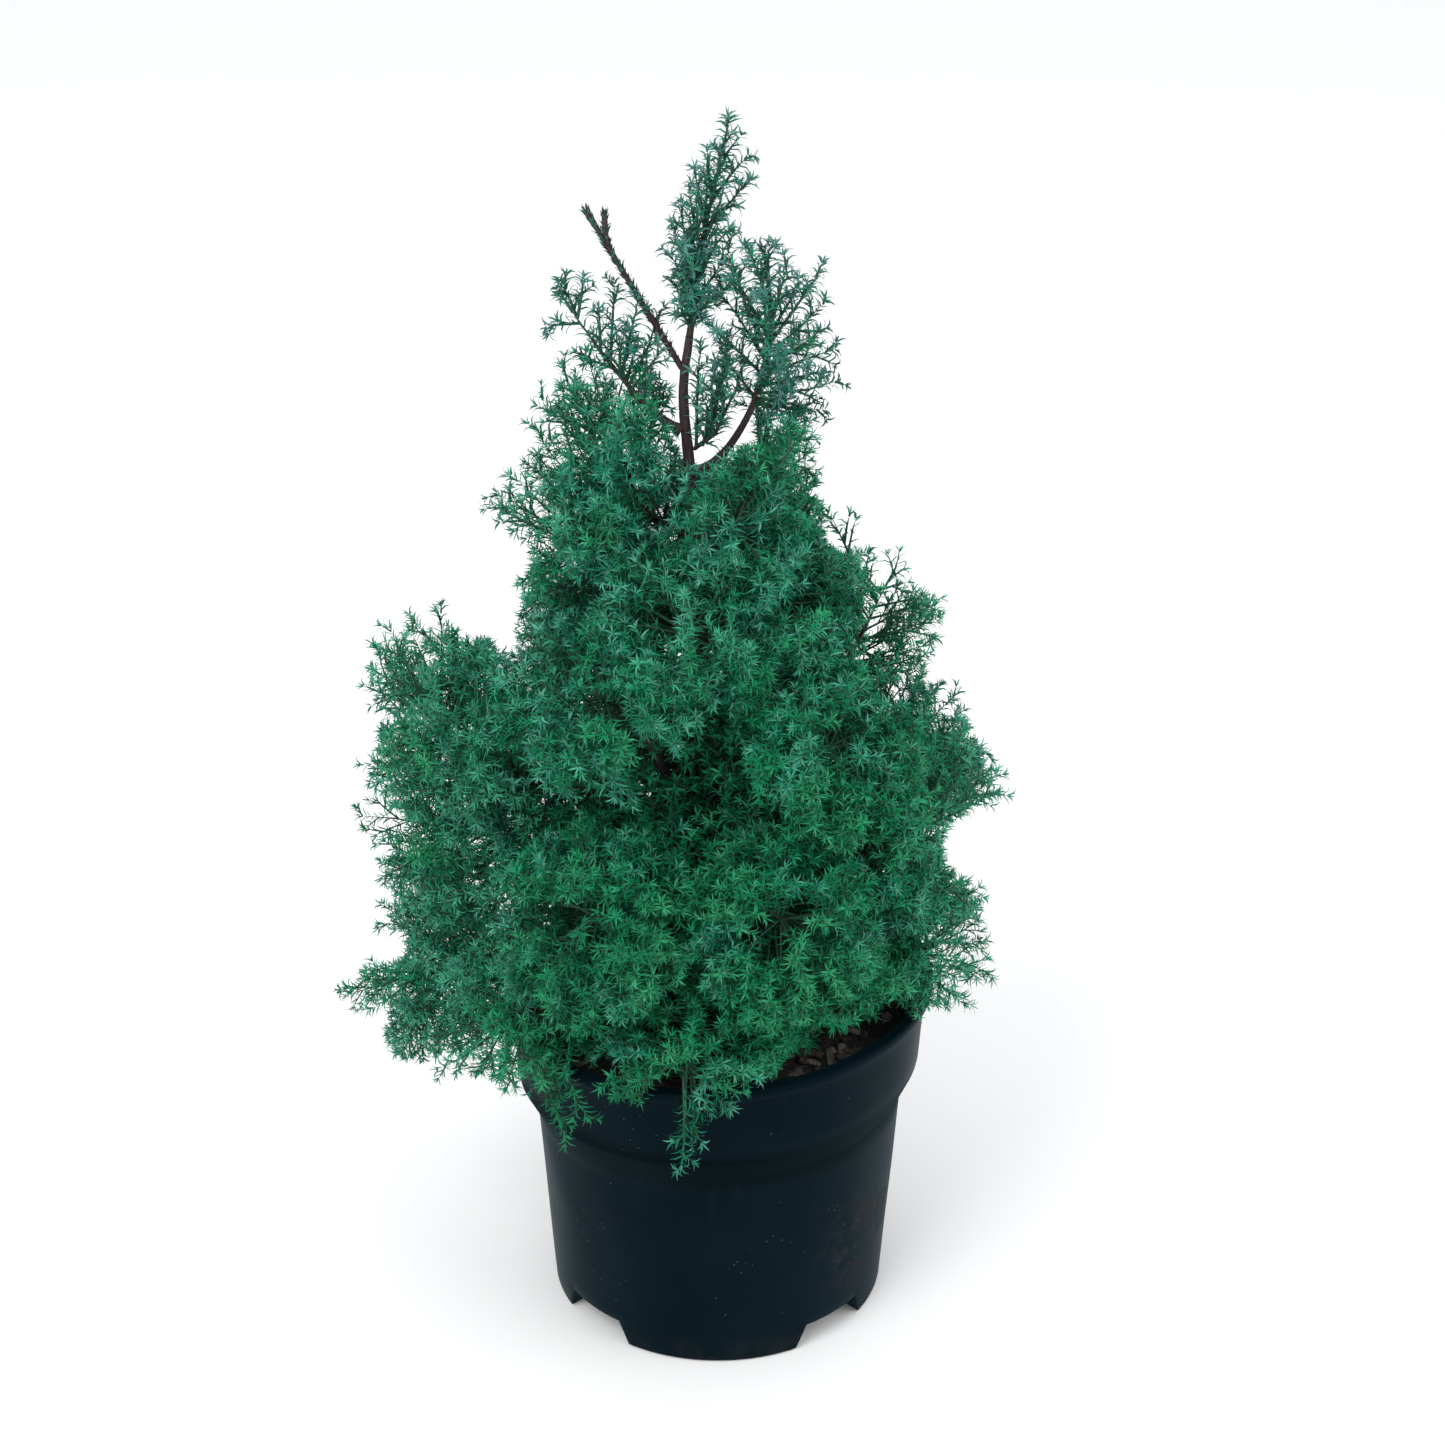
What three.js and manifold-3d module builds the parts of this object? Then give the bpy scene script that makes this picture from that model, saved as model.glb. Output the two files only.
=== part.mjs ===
// Potted blue feathers hinoki cypress: a young cone-shaped conifer in a black nursery pot.
// Millimetres, +Z up. The origin is the middle of the pot's flat underside, +X is the plant's
// right hand seen from the front, and the front looks along -Y.

import * as THREE from "three";
import { mergeVertices } from "three/addons/utils/BufferGeometryUtils.js";
import Module from "manifold-3d";

const wasm = await Module();
wasm.setup();

// Driving dimensions: pot

const POT_HEIGHT = 210;
const POT_FOOT_RADIUS = 103;
const POT_WAIST_RADIUS = 112.5;
const POT_WAIST_HEIGHT = 137;
const POT_COLLAR_RADIUS = 123.5;
const POT_COLLAR_FOOT = 158;
const POT_COLLAR_DRAFT = 1.5;
const POT_LIP_RADIUS = 130;
const POT_LIP_DROP = 7;
const POT_WALL = 2;
const POT_FLOOR = 3;
const POT_SIDES = 40;
const RIM_TILT = 3.2;
const NOTCH_COUNT = 4;
const NOTCH_FIRST = -47;
const NOTCH_FOOT_WIDTH = 60;
const NOTCH_TOP_WIDTH = 42;
const NOTCH_HEIGHT = 17;
const NOTCH_DEPTH = 22;

// Driving dimensions: soil, trunk and the clearance between neighbours

const SOIL_DROP = 14;
const SOIL_RELIEF = 3.5;
const GAP = 0.3;
const TRUNK_FOOT_RADIUS = 8.5;
const TRUNK_TIP_RADIUS = 2.2;
const ROOT_FLARE = 4.5;
const ROOT_FLARE_HEIGHT = 13;
const ROOT_LOBES = 0.35;
const TRUNK_SIDES = 8;
const TRUNK_RINGS = 14;
// Sideways lean of the trunk at each height, which is straight in the lower half
const TRUNK_COURSE = [
  [0, POT_HEIGHT - SOIL_DROP],
  [-3, 300],
  [-10, 430],
  [-15, 534],
  [-18.5, 583],
  [-15, 614],
];

// Driving dimensions: foliage

const GOLDEN_TURN = 137.5;
const TWIG_FORK = 56;
const TWIG_FORK_PLAY = 16;
const TWIG_TURN_PLAY = 40;
const FAN_TURN_PLAY = 70;
const TWIG_RADIUS = 1.7;
const STEM_RADIUS = 2.3;
const BOUGH_RADIUS = 3.6;
const BOUGH_TIP_RADIUS = 2.6;
const BOUGH_CLIMB = 20;
const SHOOT_RADIUS = 1.9;
const STAGGER = 10;
const BOUGH_BEND = 0.5;
const MASS_BEND = 0.45;
const MASS_CENTRE = 0.52;
const MASS_HALF = 0.62;
const CORE_ROUGHNESS = 0.28;
const CELL_MARGIN = 0.7;
const CELL_PULL = 0.6;
const LIMB_MARGIN = 3;
const ROOM_STEP = 3;
const LOWEST_TWIG = 0.12;
const END_BARE = 0.2;
const HANGING = -0.6;
const TWIG_LIFT = 0.12;
const SHORTEST_SPRAY = 0.45;
const RIM_MARGIN = 3;

// How each kind of mass grows: its number of twigs, the length and width of a spray, the bare share
// of its twig, how much shorter the sprays get towards the tip, how far the stem goes before its
// end spray, and the size of the core as a share of the mass
const KINDS = {
  dense: { twigs: 5, spray: 84, width: 42, bare: 0.46, dwindle: 0.1, stem: 0.6, core: 0.67 },
  fan: { twigs: 9, spray: 62, width: 24, bare: 0.2, dwindle: 0.35, stem: 0.74, core: 0 },
  slim: { twigs: 9, spray: 46, width: 17, bare: 0.2, dwindle: 0.45, stem: 0.78, core: 0 },
  wisp: { twigs: 2, spray: 30, width: 12, bare: 0.15, dwindle: 0, stem: 0.6, core: 0 },
};

// Tiers of the crown from the rim up. In each tier the masses stand evenly round the trunk, the
// first at azimuth "first" (0 is the right hand, -90 the front). "foot" is the height at which the
// boughs leave the trunk, "join" how far out each ends, as a share of the mass's reach, and
// "rise" how high. "tips" gives the furthest tip of each mass: its reach from the pot's axis and
// its height. A tier with no join grows from the trunk itself. "odd" holds what sets a mass apart
// from its tier, such as the upright lobe on the left, the open sprays on the right, and the
// "knuckle" where a stem has passed over the rim and its end spray starts to hang.
const TIERS = [
  {
    name: "skirt",
    first: -98,
    foot: 214,
    join: 0.42,
    rise: 232,
    girth: 62,
    tips: [[147, 170], [152, 232], [164, 226], [166, 224], [164, 226], [174, 222], [228, 194], [190, 208]],
    odd: {
      0: { knuckle: [136, 226] },
      6: { join: 0.5, rise: 226, turn: 7, girth: 57 },
      7: { turn: -5, knuckle: [146, 224], girth: 58 },
    },
  },
  {
    name: "low",
    first: -72,
    foot: 258,
    join: 0.4,
    rise: 296,
    girth: 66,
    tips: [[160, 296], [168, 380], [172, 360], [164, 318], [172, 326], [210, 330], [176, 290]],
    odd: { 5: { girth: 61 } },
  },
  {
    name: "middle",
    first: -50,
    foot: 322,
    join: 0.4,
    rise: 368,
    girth: 64,
    tips: [[136, 406], [107, 484], [132, 428], [142, 428], [186, 456], [146, 444]],
    odd: {
      1: { kind: "fan", join: 0.62, rise: 396, girth: 48 },
      4: { join: 0.56, rise: 350, girth: 66 },
      5: { turn: -22, rise: 392 },
    },
  },
  {
    name: "shoulder",
    first: -99,
    foot: 436,
    join: 0,
    rise: 0,
    girth: 60,
    tips: [[92, 492], [86, 500], [92, 506], [104, 514], [126, 524]],
    odd: { 4: { foot: 472 } },
  },
  {
    name: "top",
    first: -60,
    foot: 498,
    join: 0,
    rise: 0,
    girth: 52,
    tips: [[62, 544], [66, 556], [82, 598]],
    odd: { 0: { girth: 46 }, 1: { turn: -22 }, 2: { girth: 54 } },
  },
];

// The sprays of the open top where the photo shows them: the share of the stem at which each one
// leaves it, its tip, and the width of its blade
const OPEN_SPRAYS = {
  leader: [
    [0.1, [-24, -4, 634], 13], [0.14, [-28, 4, 648], 15], [0.2, [-28, -4, 661], 15],
    [0.3, [-27, 3, 675], 15], [0.4, [-23, -3, 688], 15], [0.52, [-17, 3, 699], 14],
    [0.68, [-14, -2, 709], 12], [0.12, [12, -3, 650], 17], [0.2, [17, 3, 665], 18],
    [0.28, [27, -2, 668], 16], [0.72, [20, 0, 702], 14], [0.86, [20, 2, 716], 12],
    [0.96, [15, 0, 727], 10],
  ],
  right: [
    [0.3, [-5, 3, 622], 18], [0.5, [6, -3, 650], 20], [0.75, [14, 3, 666], 16],
    [0.72, [38, -3, 656], 20], [0.55, [58, 3, 650], 24], [0.42, [66, -4, 634], 22],
    [0.28, [69, 4, 611], 24], [0.14, [71, -3, 590], 22], [0.04, [64, 3, 572], 18],
  ],
  left: [
    [0.9, [-94, -2, 620], 15], [0.94, [-72, 2, 650], 15], [0.45, [-55, -3, 647], 18],
    [0.28, [-42, 3, 637], 18], [0.16, [-32, -2, 629], 16], [0.12, [-30, -4, 607], 14],
  ],
  centre: [[0.1, [-9, -8, 608], 12], [0.2, [6, -4, 616], 12]],
};

// Colours of the pieces

const finishes = {
  pot: new THREE.MeshStandardMaterial({ color: 0x14202a, roughness: 0.42, metalness: 0 }),
  soil: new THREE.MeshStandardMaterial({ color: 0x2a211b, roughness: 0.95, metalness: 0 }),
  bark: new THREE.MeshStandardMaterial({ color: 0x4a3b3a, roughness: 0.9, metalness: 0 }),
  foliage: new THREE.MeshStandardMaterial({ color: 0x1f6b50, roughness: 0.7, metalness: 0 }),
};

// Solids and meshes

function solidOf(geometry) {
  geometry.deleteAttribute("normal");
  geometry.deleteAttribute("uv");
  const merged = mergeVertices(geometry, 1e-4);
  const vertProperties = new Float32Array(merged.attributes.position.array);
  const triVerts = new Uint32Array(merged.index.array);
  return new wasm.Manifold(new wasm.Mesh({ numProp: 3, vertProperties, triVerts }));
}

function joinAll(solids) {
  let joined = solids[0];
  for (const solid of solids.slice(1)) {
    joined = joined.add(solid);
  }
  return joined;
}

// Twigs that lost their hold and hollows that the joining sealed are left behind here
function largestPart(solid) {
  const parts = solid.decompose();
  parts.sort((a, b) => b.volume() - a.volume());
  return parts[0];
}

function meshOf(name, solid, finish) {
  const { vertProperties, triVerts } = solid.getMesh();
  const geometry = new THREE.BufferGeometry();
  geometry.setAttribute("position", new THREE.BufferAttribute(vertProperties, 3));
  geometry.setIndex(new THREE.BufferAttribute(triVerts, 1));
  geometry.computeVertexNormals();
  const mesh = new THREE.Mesh(geometry, finish);
  mesh.name = name;
  return mesh;
}

// Repeatable random numbers from 0 to 1
function seededDraws(seed) {
  let state = seed >>> 0;
  return () => {
    state = (state + 0x6d2b79f5) >>> 0;
    let mixed = Math.imul(state ^ (state >>> 15), 1 | state);
    mixed = (mixed + Math.imul(mixed ^ (mixed >>> 7), 61 | mixed)) ^ mixed;
    return ((mixed ^ (mixed >>> 14)) >>> 0) / 4294967296;
  };
}

// The direction that points away from the pot's axis at an azimuth, and climbs by some degrees
function outward(azimuth, climb = 0) {
  const turn = THREE.MathUtils.degToRad(azimuth);
  const lift = THREE.MathUtils.degToRad(climb);
  const level = Math.cos(lift);
  return new THREE.Vector3(level * Math.cos(turn), level * Math.sin(turn), Math.sin(lift));
}

function placeAt(azimuth, reach, height) {
  return outward(azimuth).multiplyScalar(reach).setZ(height);
}

// Pot

// The rim sits a little high on the right, and the foot stands level
function leanOfRim(x, z) {
  const share = THREE.MathUtils.smoothstep(z, 40, POT_HEIGHT);
  return x * Math.tan(THREE.MathUtils.degToRad(RIM_TILT)) * share;
}

function turned(profile, sides) {
  const points = profile.map(([radius, height]) => new THREE.Vector2(radius, height));
  const geometry = new THREE.LatheGeometry(points, sides);
  geometry.rotateX(Math.PI / 2);
  const position = geometry.attributes.position;
  for (let i = 0; i < position.count; i++) {
    position.setZ(i, position.getZ(i) + leanOfRim(position.getX(i), position.getZ(i)));
  }
  return geometry;
}

// Half section of the pot's inside, drawn in by "inset" from the wall and floor
function insideProfile(inset, top) {
  const thickness = POT_WALL + inset;
  const collarStart = POT_COLLAR_FOOT + 2;
  const spread = (POT_COLLAR_DRAFT * (top - collarStart)) / (POT_HEIGHT - collarStart);
  return [
    [0, POT_FLOOR + inset],
    [POT_FOOT_RADIUS - thickness, POT_FLOOR + inset],
    [POT_WAIST_RADIUS - thickness, POT_WAIST_HEIGHT],
    [POT_COLLAR_RADIUS - thickness, collarStart],
    [POT_COLLAR_RADIUS + spread - thickness, top],
    [0, top],
  ];
}

// Drainage notches cut into the foot, wider at the ground and drawn larger all round by "grow"
function notches(grow) {
  const solids = [];
  const overrun = 6;
  const blockDepth = 60;
  const height = NOTCH_HEIGHT + grow + overrun;
  for (let i = 0; i < NOTCH_COUNT; i++) {
    const block = new THREE.BoxGeometry(blockDepth, NOTCH_FOOT_WIDTH + 2 * grow, height);
    const position = block.attributes.position;
    for (let k = 0; k < position.count; k++) {
      if (position.getZ(k) > 0) {
        position.setY(k, Math.sign(position.getY(k)) * (NOTCH_TOP_WIDTH / 2 + grow));
      }
    }
    const out = POT_FOOT_RADIUS - NOTCH_DEPTH - grow + blockDepth / 2;
    block.translate(out, 0, height / 2 - overrun);
    block.rotateZ(THREE.MathUtils.degToRad(NOTCH_FIRST + (360 / NOTCH_COUNT) * i));
    solids.push(solidOf(block));
  }
  return joinAll(solids);
}

function pot() {
  const outside = turned([
    [0, 0],
    [POT_FOOT_RADIUS - 1.5, 0],
    [POT_FOOT_RADIUS, 1.5],
    [POT_WAIST_RADIUS, POT_WAIST_HEIGHT],
    [POT_COLLAR_RADIUS - 1, POT_COLLAR_FOOT],
    [POT_COLLAR_RADIUS + POT_COLLAR_DRAFT, POT_HEIGHT - POT_LIP_DROP - 3],
    [POT_LIP_RADIUS - 0.6, POT_HEIGHT - POT_LIP_DROP],
    [POT_LIP_RADIUS, POT_HEIGHT - 2],
    [POT_LIP_RADIUS - 1.5, POT_HEIGHT],
    [0, POT_HEIGHT],
  ], POT_SIDES);
  const inside = turned(insideProfile(0, POT_HEIGHT + 5), POT_SIDES);
  const hollow = solidOf(inside).subtract(notches(POT_WALL));
  return meshOf("pot", solidOf(outside).subtract(notches(0)).subtract(hollow), finishes.pot);
}

// The room that the rim and what is inside it take up, with a little air, for the lowest masses
function potRoom() {
  const brim = POT_HEIGHT + RIM_MARGIN / 2;
  const reach = POT_LIP_RADIUS + RIM_MARGIN / 2;
  return solidOf(turned([[0, 0], [reach, 0], [reach, brim], [0, brim]], POT_SIDES));
}

// Soil

function soilTop() {
  return POT_HEIGHT - SOIL_DROP - GAP;
}

// How far the soil rises above its middle: the rim's lean and low heaps
function soilSwell(x, y) {
  const heaps = Math.sin(x * 0.061 + 1.3) * Math.cos(y * 0.073);
  const lumps = 0.5 * Math.sin(y * 0.13 - x * 0.05);
  return leanOfRim(x, soilTop()) + SOIL_RELIEF * (heaps + lumps);
}

// The potting mix fills the pot to below the lip, and is level where the trunk stands on it
function soil() {
  const top = soilTop();
  const profile = insideProfile(GAP, top).slice(0, -1);
  const rings = [104, 80, 54, 26];
  for (const radius of rings) {
    profile.push([radius, top]);
  }
  profile.push([0, top]);
  const body = turned(profile, POT_SIDES);
  const position = body.attributes.position;
  for (let i = 0; i < position.count; i++) {
    const x = position.getX(i);
    const y = position.getY(i);
    const radius = Math.hypot(x, y);
    const onTop = Math.abs(position.getZ(i) - top - leanOfRim(x, top)) < 0.5;
    if (onTop && radius < rings[0] + 1) {
      position.setZ(i, top + soilSwell(x, y) * THREE.MathUtils.smoothstep(radius, 20, 60));
    }
  }
  return meshOf("soil", solidOf(body).subtract(notches(POT_WALL + GAP)), finishes.soil);
}

// Limbs: trunk, boughs, stems and twigs

// A round bar bent along a curve, with its own radius at each share of the way. A crowding above 1
// draws its rings together at the foot
function limbGeometry(curve, radiusAt, sides, rings, aside, crowding = 1) {
  const geometry = new THREE.CylinderGeometry(1, 1, 1, sides, rings);
  const position = geometry.attributes.position;
  for (let i = 0; i < position.count; i++) {
    const share = Math.pow(position.getY(i) + 0.5, crowding);
    const spin = Math.atan2(position.getZ(i), position.getX(i));
    const tangent = curve.getTangent(share);
    const normal = aside.clone().addScaledVector(tangent, -aside.dot(tangent)).normalize();
    const binormal = normal.clone().cross(tangent);
    const radius = radiusAt(share, spin);
    const point = curve.getPoint(share);
    point.addScaledVector(normal, position.getX(i) * radius);
    point.addScaledVector(binormal, position.getZ(i) * radius);
    position.setXYZ(i, point.x, point.y, point.z);
  }
  return geometry;
}

function trunkCurve() {
  const points = TRUNK_COURSE.map(([x, z]) => new THREE.Vector3(x, 0, z));
  return new THREE.CatmullRomCurve3(points, false, "centripetal");
}

const trunkLine = trunkCurve();
const trunkFoot = TRUNK_COURSE[0][1];
const trunkTop = TRUNK_COURSE[TRUNK_COURSE.length - 1][1];

function trunkShareAt(height) {
  let low = 0;
  let high = 1;
  for (let step = 0; step < 20; step++) {
    const middle = (low + high) / 2;
    if (trunkLine.getPoint(middle).z < height) {
      low = middle;
    } else {
      high = middle;
    }
  }
  return low;
}

function trunkRadiusAt(height) {
  const up = (height - trunkFoot) / (trunkTop - trunkFoot);
  return THREE.MathUtils.lerp(TRUNK_FOOT_RADIUS, TRUNK_TIP_RADIUS, Math.pow(up, 0.85));
}

// The root flare swells in three lobes round the trunk
function flareAt(height, azimuth) {
  const swell = ROOT_FLARE * Math.exp((trunkFoot - height) / ROOT_FLARE_HEIGHT);
  return swell * (1 + ROOT_LOBES * Math.cos(3 * THREE.MathUtils.degToRad(azimuth) - 0.6));
}

// The trunk flares out to its roots and is cut flat where it meets the soil
function trunk() {
  const radiusAt = (share, spin) => {
    const height = trunkLine.getPoint(share).z;
    return trunkRadiusAt(height) + flareAt(height, -THREE.MathUtils.radToDeg(spin));
  };
  const crowding = 1.8;
  const bar = limbGeometry(trunkLine, radiusAt, TRUNK_SIDES, TRUNK_RINGS, sideOf(-90), crowding);
  const position = bar.attributes.position;
  for (let i = 0; i < position.count; i++) {
    position.setZ(i, Math.max(position.getZ(i), trunkFoot));
  }
  return meshOf("trunk", solidOf(bar), finishes.bark);
}

// How far the trunk's flat-sided bark reaches towards an azimuth
function barkAt(height, azimuth) {
  const side = 360 / TRUNK_SIDES;
  const offCorner = azimuth - side * Math.round(azimuth / side);
  const corner = trunkRadiusAt(height) + flareAt(height, azimuth);
  return corner * Math.cos(THREE.MathUtils.degToRad(offCorner));
}

// Where a limb of the given radius and climb starts, so that the upper and the lower edge of its
// foot are both clear of the bark
function trunkSeat(height, azimuth, radius, climb) {
  const rise = radius * Math.cos(THREE.MathUtils.degToRad(climb));
  const lean = radius * Math.sin(THREE.MathUtils.degToRad(climb));
  const upper = barkAt(height + rise, azimuth) + lean;
  const lower = barkAt(height - rise, azimuth) - lean;
  const seat = trunkLine.getPoint(trunkShareAt(height));
  return seat.addScaledVector(outward(azimuth), GAP + Math.max(upper, lower));
}

function taper(from, to) {
  return (share) => THREE.MathUtils.lerp(from, to, share);
}

function sideOf(azimuth) {
  return outward(azimuth + 90);
}

// Plans: where each bough and mass goes

function boughPlan(name, azimuth, foot, end, climb) {
  const seat = trunkSeat(foot, azimuth, BOUGH_RADIUS, climb);
  const run = BOUGH_BEND * Math.hypot(end.x - seat.x, end.y - seat.y);
  const bend = seat.clone().addScaledVector(outward(azimuth), run);
  bend.z += run * Math.tan(THREE.MathUtils.degToRad(climb));
  const curve = new THREE.QuadraticBezierCurve3(seat, bend, end);
  return { name, curve, aside: sideOf(azimuth) };
}

function headingOf(bough) {
  return bough.curve.getTangent(1);
}

function nextTo(bough) {
  return bough.curve.getPoint(1).addScaledVector(headingOf(bough), GAP);
}

// The stem of a mass goes on from "start", a bough's tip or the trunk, and arches over to its tip
function massPlan(plan) {
  const { start, heading, tip, knuckle } = plan;
  const run = tip.distanceTo(start);
  const bend = start.clone().addScaledVector(heading, run * MASS_BEND);
  const arch = new THREE.QuadraticBezierCurve3(start, bend, tip);
  const stem = KINDS[plan.kind].stem;
  const stemEnd = knuckle || arch.getPoint(stem);
  const curve = new THREE.QuadraticBezierCurve3(start, start.clone().lerp(bend, stem), stemEnd);
  const middle = arch.getPoint(0.5);
  const centre = start.clone().lerp(tip, MASS_CENTRE).lerp(middle, 0.5);
  const pull = plan.pull || CELL_PULL * plan.girth;
  return { ...plan, curve, middle, centre, pull, half: run * MASS_HALF };
}

function tierPlans(tier, index) {
  const boughs = [];
  const masses = [];
  tier.tips.forEach(([reach, height], i) => {
    const own = { kind: "dense", turn: 0, ...tier, ...(tier.odd && tier.odd[i]) };
    const azimuth = own.first + (360 / tier.tips.length) * i + own.turn;
    const foot = own.foot + STAGGER * (i % 2);
    let start = trunkSeat(foot, azimuth, STEM_RADIUS, BOUGH_CLIMB);
    let heading = outward(azimuth, BOUGH_CLIMB);
    if (own.join > 0) {
      const end = placeAt(azimuth, reach * own.join, own.rise);
      const bough = boughPlan(`${tier.name}_bough_${i + 1}`, azimuth, foot, end, BOUGH_CLIMB);
      boughs.push(bough);
      start = nextTo(bough);
      heading = headingOf(bough);
    }
    masses.push(massPlan({
      name: `${tier.name}_foliage_${i + 1}`,
      seed: 100 * (index + 1) + i,
      kind: own.kind,
      girth: own.girth,
      tip: placeAt(azimuth, reach, height),
      knuckle: own.knuckle && placeAt(azimuth, ...own.knuckle),
      azimuth,
      start,
      heading,
    }));
  });
  return { boughs, masses };
}

// The leading shoot goes on from the trunk's tip
function leaderPlan() {
  const heading = trunkLine.getTangent(1);
  const start = trunkLine.getPoint(1).addScaledVector(heading, GAP);
  const tip = new THREE.Vector3(7, 0, 737);
  return massPlan({
    name: "leader_foliage",
    seed: 901,
    kind: "slim",
    azimuth: -25,
    girth: 44,
    pull: 50,
    sprays: OPEN_SPRAYS.leader,
    start,
    heading,
    tip,
  });
}

// A few shoots stand in front of the leader's foot
function centrePlan() {
  const azimuth = -30;
  const start = trunkSeat(550, azimuth, STEM_RADIUS, BOUGH_CLIMB);
  const heading = outward(azimuth, BOUGH_CLIMB);
  const tip = new THREE.Vector3(3, -12, 606);
  return massPlan({
    name: "centre_foliage",
    seed: 904,
    kind: "wisp",
    azimuth,
    girth: 26,
    sprays: OPEN_SPRAYS.centre,
    start,
    heading,
    tip,
  });
}

// The open top: the leader, a fan on the right, a spray on the left and the shoots between them
function topPlans() {
  const right = boughPlan("right_bough", 0, 536, new THREE.Vector3(19, 2, 572), 12);
  const left = boughPlan("left_bough", 172, 560, new THREE.Vector3(-43, -3, 580), 30);
  const rightFan = massPlan({
    name: "right_foliage",
    seed: 902,
    kind: "fan",
    azimuth: 12,
    girth: 62,
    pull: 34,
    sprays: OPEN_SPRAYS.right,
    start: nextTo(right),
    heading: headingOf(right),
    tip: new THREE.Vector3(24, 0, 668),
  });
  const leftSpray = massPlan({
    name: "left_foliage",
    seed: 903,
    kind: "slim",
    azimuth: 160,
    girth: 38,
    sprays: OPEN_SPRAYS.left,
    start: nextTo(left),
    heading: headingOf(left),
    tip: new THREE.Vector3(-88, -4, 646),
  });
  return { boughs: [right, left], masses: [leaderPlan(), rightFan, leftSpray, centrePlan()] };
}

// A lean shoot with no side shoots, which leaves the trunk on the left just below its tip
function bareShootPlan() {
  const seat = trunkSeat(596, 180, SHOOT_RADIUS, 50);
  const bend = new THREE.Vector3(-38, 0, 628);
  const tip = new THREE.Vector3(-70, 0, 684);
  const curve = new THREE.QuadraticBezierCurve3(seat, bend, tip);
  return { name: "bare_shoot", curve, aside: sideOf(180) };
}

// Spaces: each mass keeps to its own cell, clear of limbs, pot and soil

// Balls strung along a limb, which stand for it when a twig looks for room
function limbBeads(curve, radiusAt, count) {
  const beads = [];
  for (let i = 0; i <= count; i++) {
    beads.push({ point: curve.getPoint(i / count), radius: radiusAt(i / count) });
  }
  return beads;
}

function clearOfPot(point) {
  const reach = Math.hypot(point.x, point.y);
  const rim = POT_HEIGHT + leanOfRim(point.x, POT_HEIGHT);
  if (reach < POT_COLLAR_RADIUS - RIM_MARGIN) {
    return point.z > rim - SOIL_DROP + SOIL_RELIEF + RIM_MARGIN;
  }
  return reach > POT_LIP_RADIUS + RIM_MARGIN || point.z > rim + RIM_MARGIN;
}

function clearOfLimbs(point, beads) {
  return beads.every((bead) => bead.point.distanceTo(point) > bead.radius + LIMB_MARGIN);
}

function inReach(point, plan) {
  const chord = plan.tip.clone().sub(plan.curve.getPoint(0)).normalize();
  const offset = point.clone().sub(plan.centre);
  const along = offset.dot(chord);
  const across = Math.sqrt(Math.max(0, offset.lengthSq() - along * along));
  return (along / plan.half) ** 2 + (across / plan.girth) ** 2 < 1;
}

function inCell(point, plan, plans) {
  const own = point.distanceToSquared(plan.centre) - plan.pull ** 2;
  return plans.every((other) => {
    if (other === plan) {
      return true;
    }
    const theirs = point.distanceToSquared(other.centre) - other.pull ** 2;
    return theirs - own > 2 * CELL_MARGIN * other.centre.distanceTo(plan.centre);
  });
}

function spaceOf(plan, plans, beads) {
  return (point, bounded) => {
    const held = inCell(point, plan, plans) && clearOfPot(point) && clearOfLimbs(point, beads);
    return held && (!bounded || inReach(point, plan));
  };
}

// Sprays: toothed blades with a raised rib, each standing for a shoot with its side shoots, and
// narrowed at the root to its bare twig

// One side of the outline from root to tip. Each point gives its place along the spray, its
// distance from the rib as a share of half the width, and the rib point that the next edge joins
function spraySide(bare, narrow) {
  const pitch = toothPitch(bare);
  return [
    { along: 0, across: narrow, rib: 0 },
    { along: bare, across: narrow, rib: 1 },
    { along: bare + 0.95 * pitch, across: 1, rib: 1 },
    { along: bare + pitch, across: 0.3, rib: 2 },
    { along: bare + 1.85 * pitch, across: 0.7, rib: 2 },
    { along: bare + 1.9 * pitch, across: 0.22, rib: 2 },
  ];
}

function toothPitch(bare) {
  return (1 - bare) / 2.5;
}

// Places along the rib and its height there, the same above and below
function sprayRib(bare, length) {
  const rise = Math.max(TWIG_RADIUS, 0.035 * length);
  const pitch = toothPitch(bare);
  return [
    [0.06, TWIG_RADIUS],
    [bare + 0.5 * pitch, rise],
    [bare + 1.45 * pitch, 0.7 * rise],
  ];
}

function sprayGeometry(root, tip, width, bare, facing) {
  const length = tip.distanceTo(root);
  const ahead = tip.clone().sub(root).normalize();
  const across = ahead.clone().cross(facing).normalize();
  const normal = across.clone().cross(ahead);
  const place = (along, aside, lift) => root.clone()
    .addScaledVector(ahead, along * length)
    .addScaledVector(across, (aside * width) / 2)
    .addScaledVector(normal, lift);
  const side = spraySide(bare, (2 * TWIG_RADIUS) / width);
  const edge = side.map((p) => ({ point: place(p.along, p.across, 0), rib: p.rib }));
  edge.push({ point: place(1, 0, 0), rib: 2 });
  for (let k = side.length - 1; k >= 0; k--) {
    const rib = k > 0 ? side[k - 1].rib : 0;
    edge.push({ point: place(side[k].along, -side[k].across, 0), rib });
  }
  const ribs = sprayRib(bare, length);
  const top = edge.length;
  const under = top + ribs.length;
  const vertices = [
    ...edge.map((p) => p.point),
    ...ribs.map(([along, lift]) => place(along, 0, lift)),
    ...ribs.map(([along, lift]) => place(along, 0, -lift)),
  ];
  const faces = [];
  edge.forEach((from, i) => {
    const next = (i + 1) % edge.length;
    const onward = edge[next].rib;
    faces.push(i, next, top + from.rib);
    faces.push(next, i, under + from.rib);
    if (onward !== from.rib) {
      faces.push(next, top + onward, top + from.rib);
      faces.push(next, under + from.rib, under + onward);
    }
  });
  return new THREE.BufferGeometry().setFromPoints(vertices).setIndex(faces);
}

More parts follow.
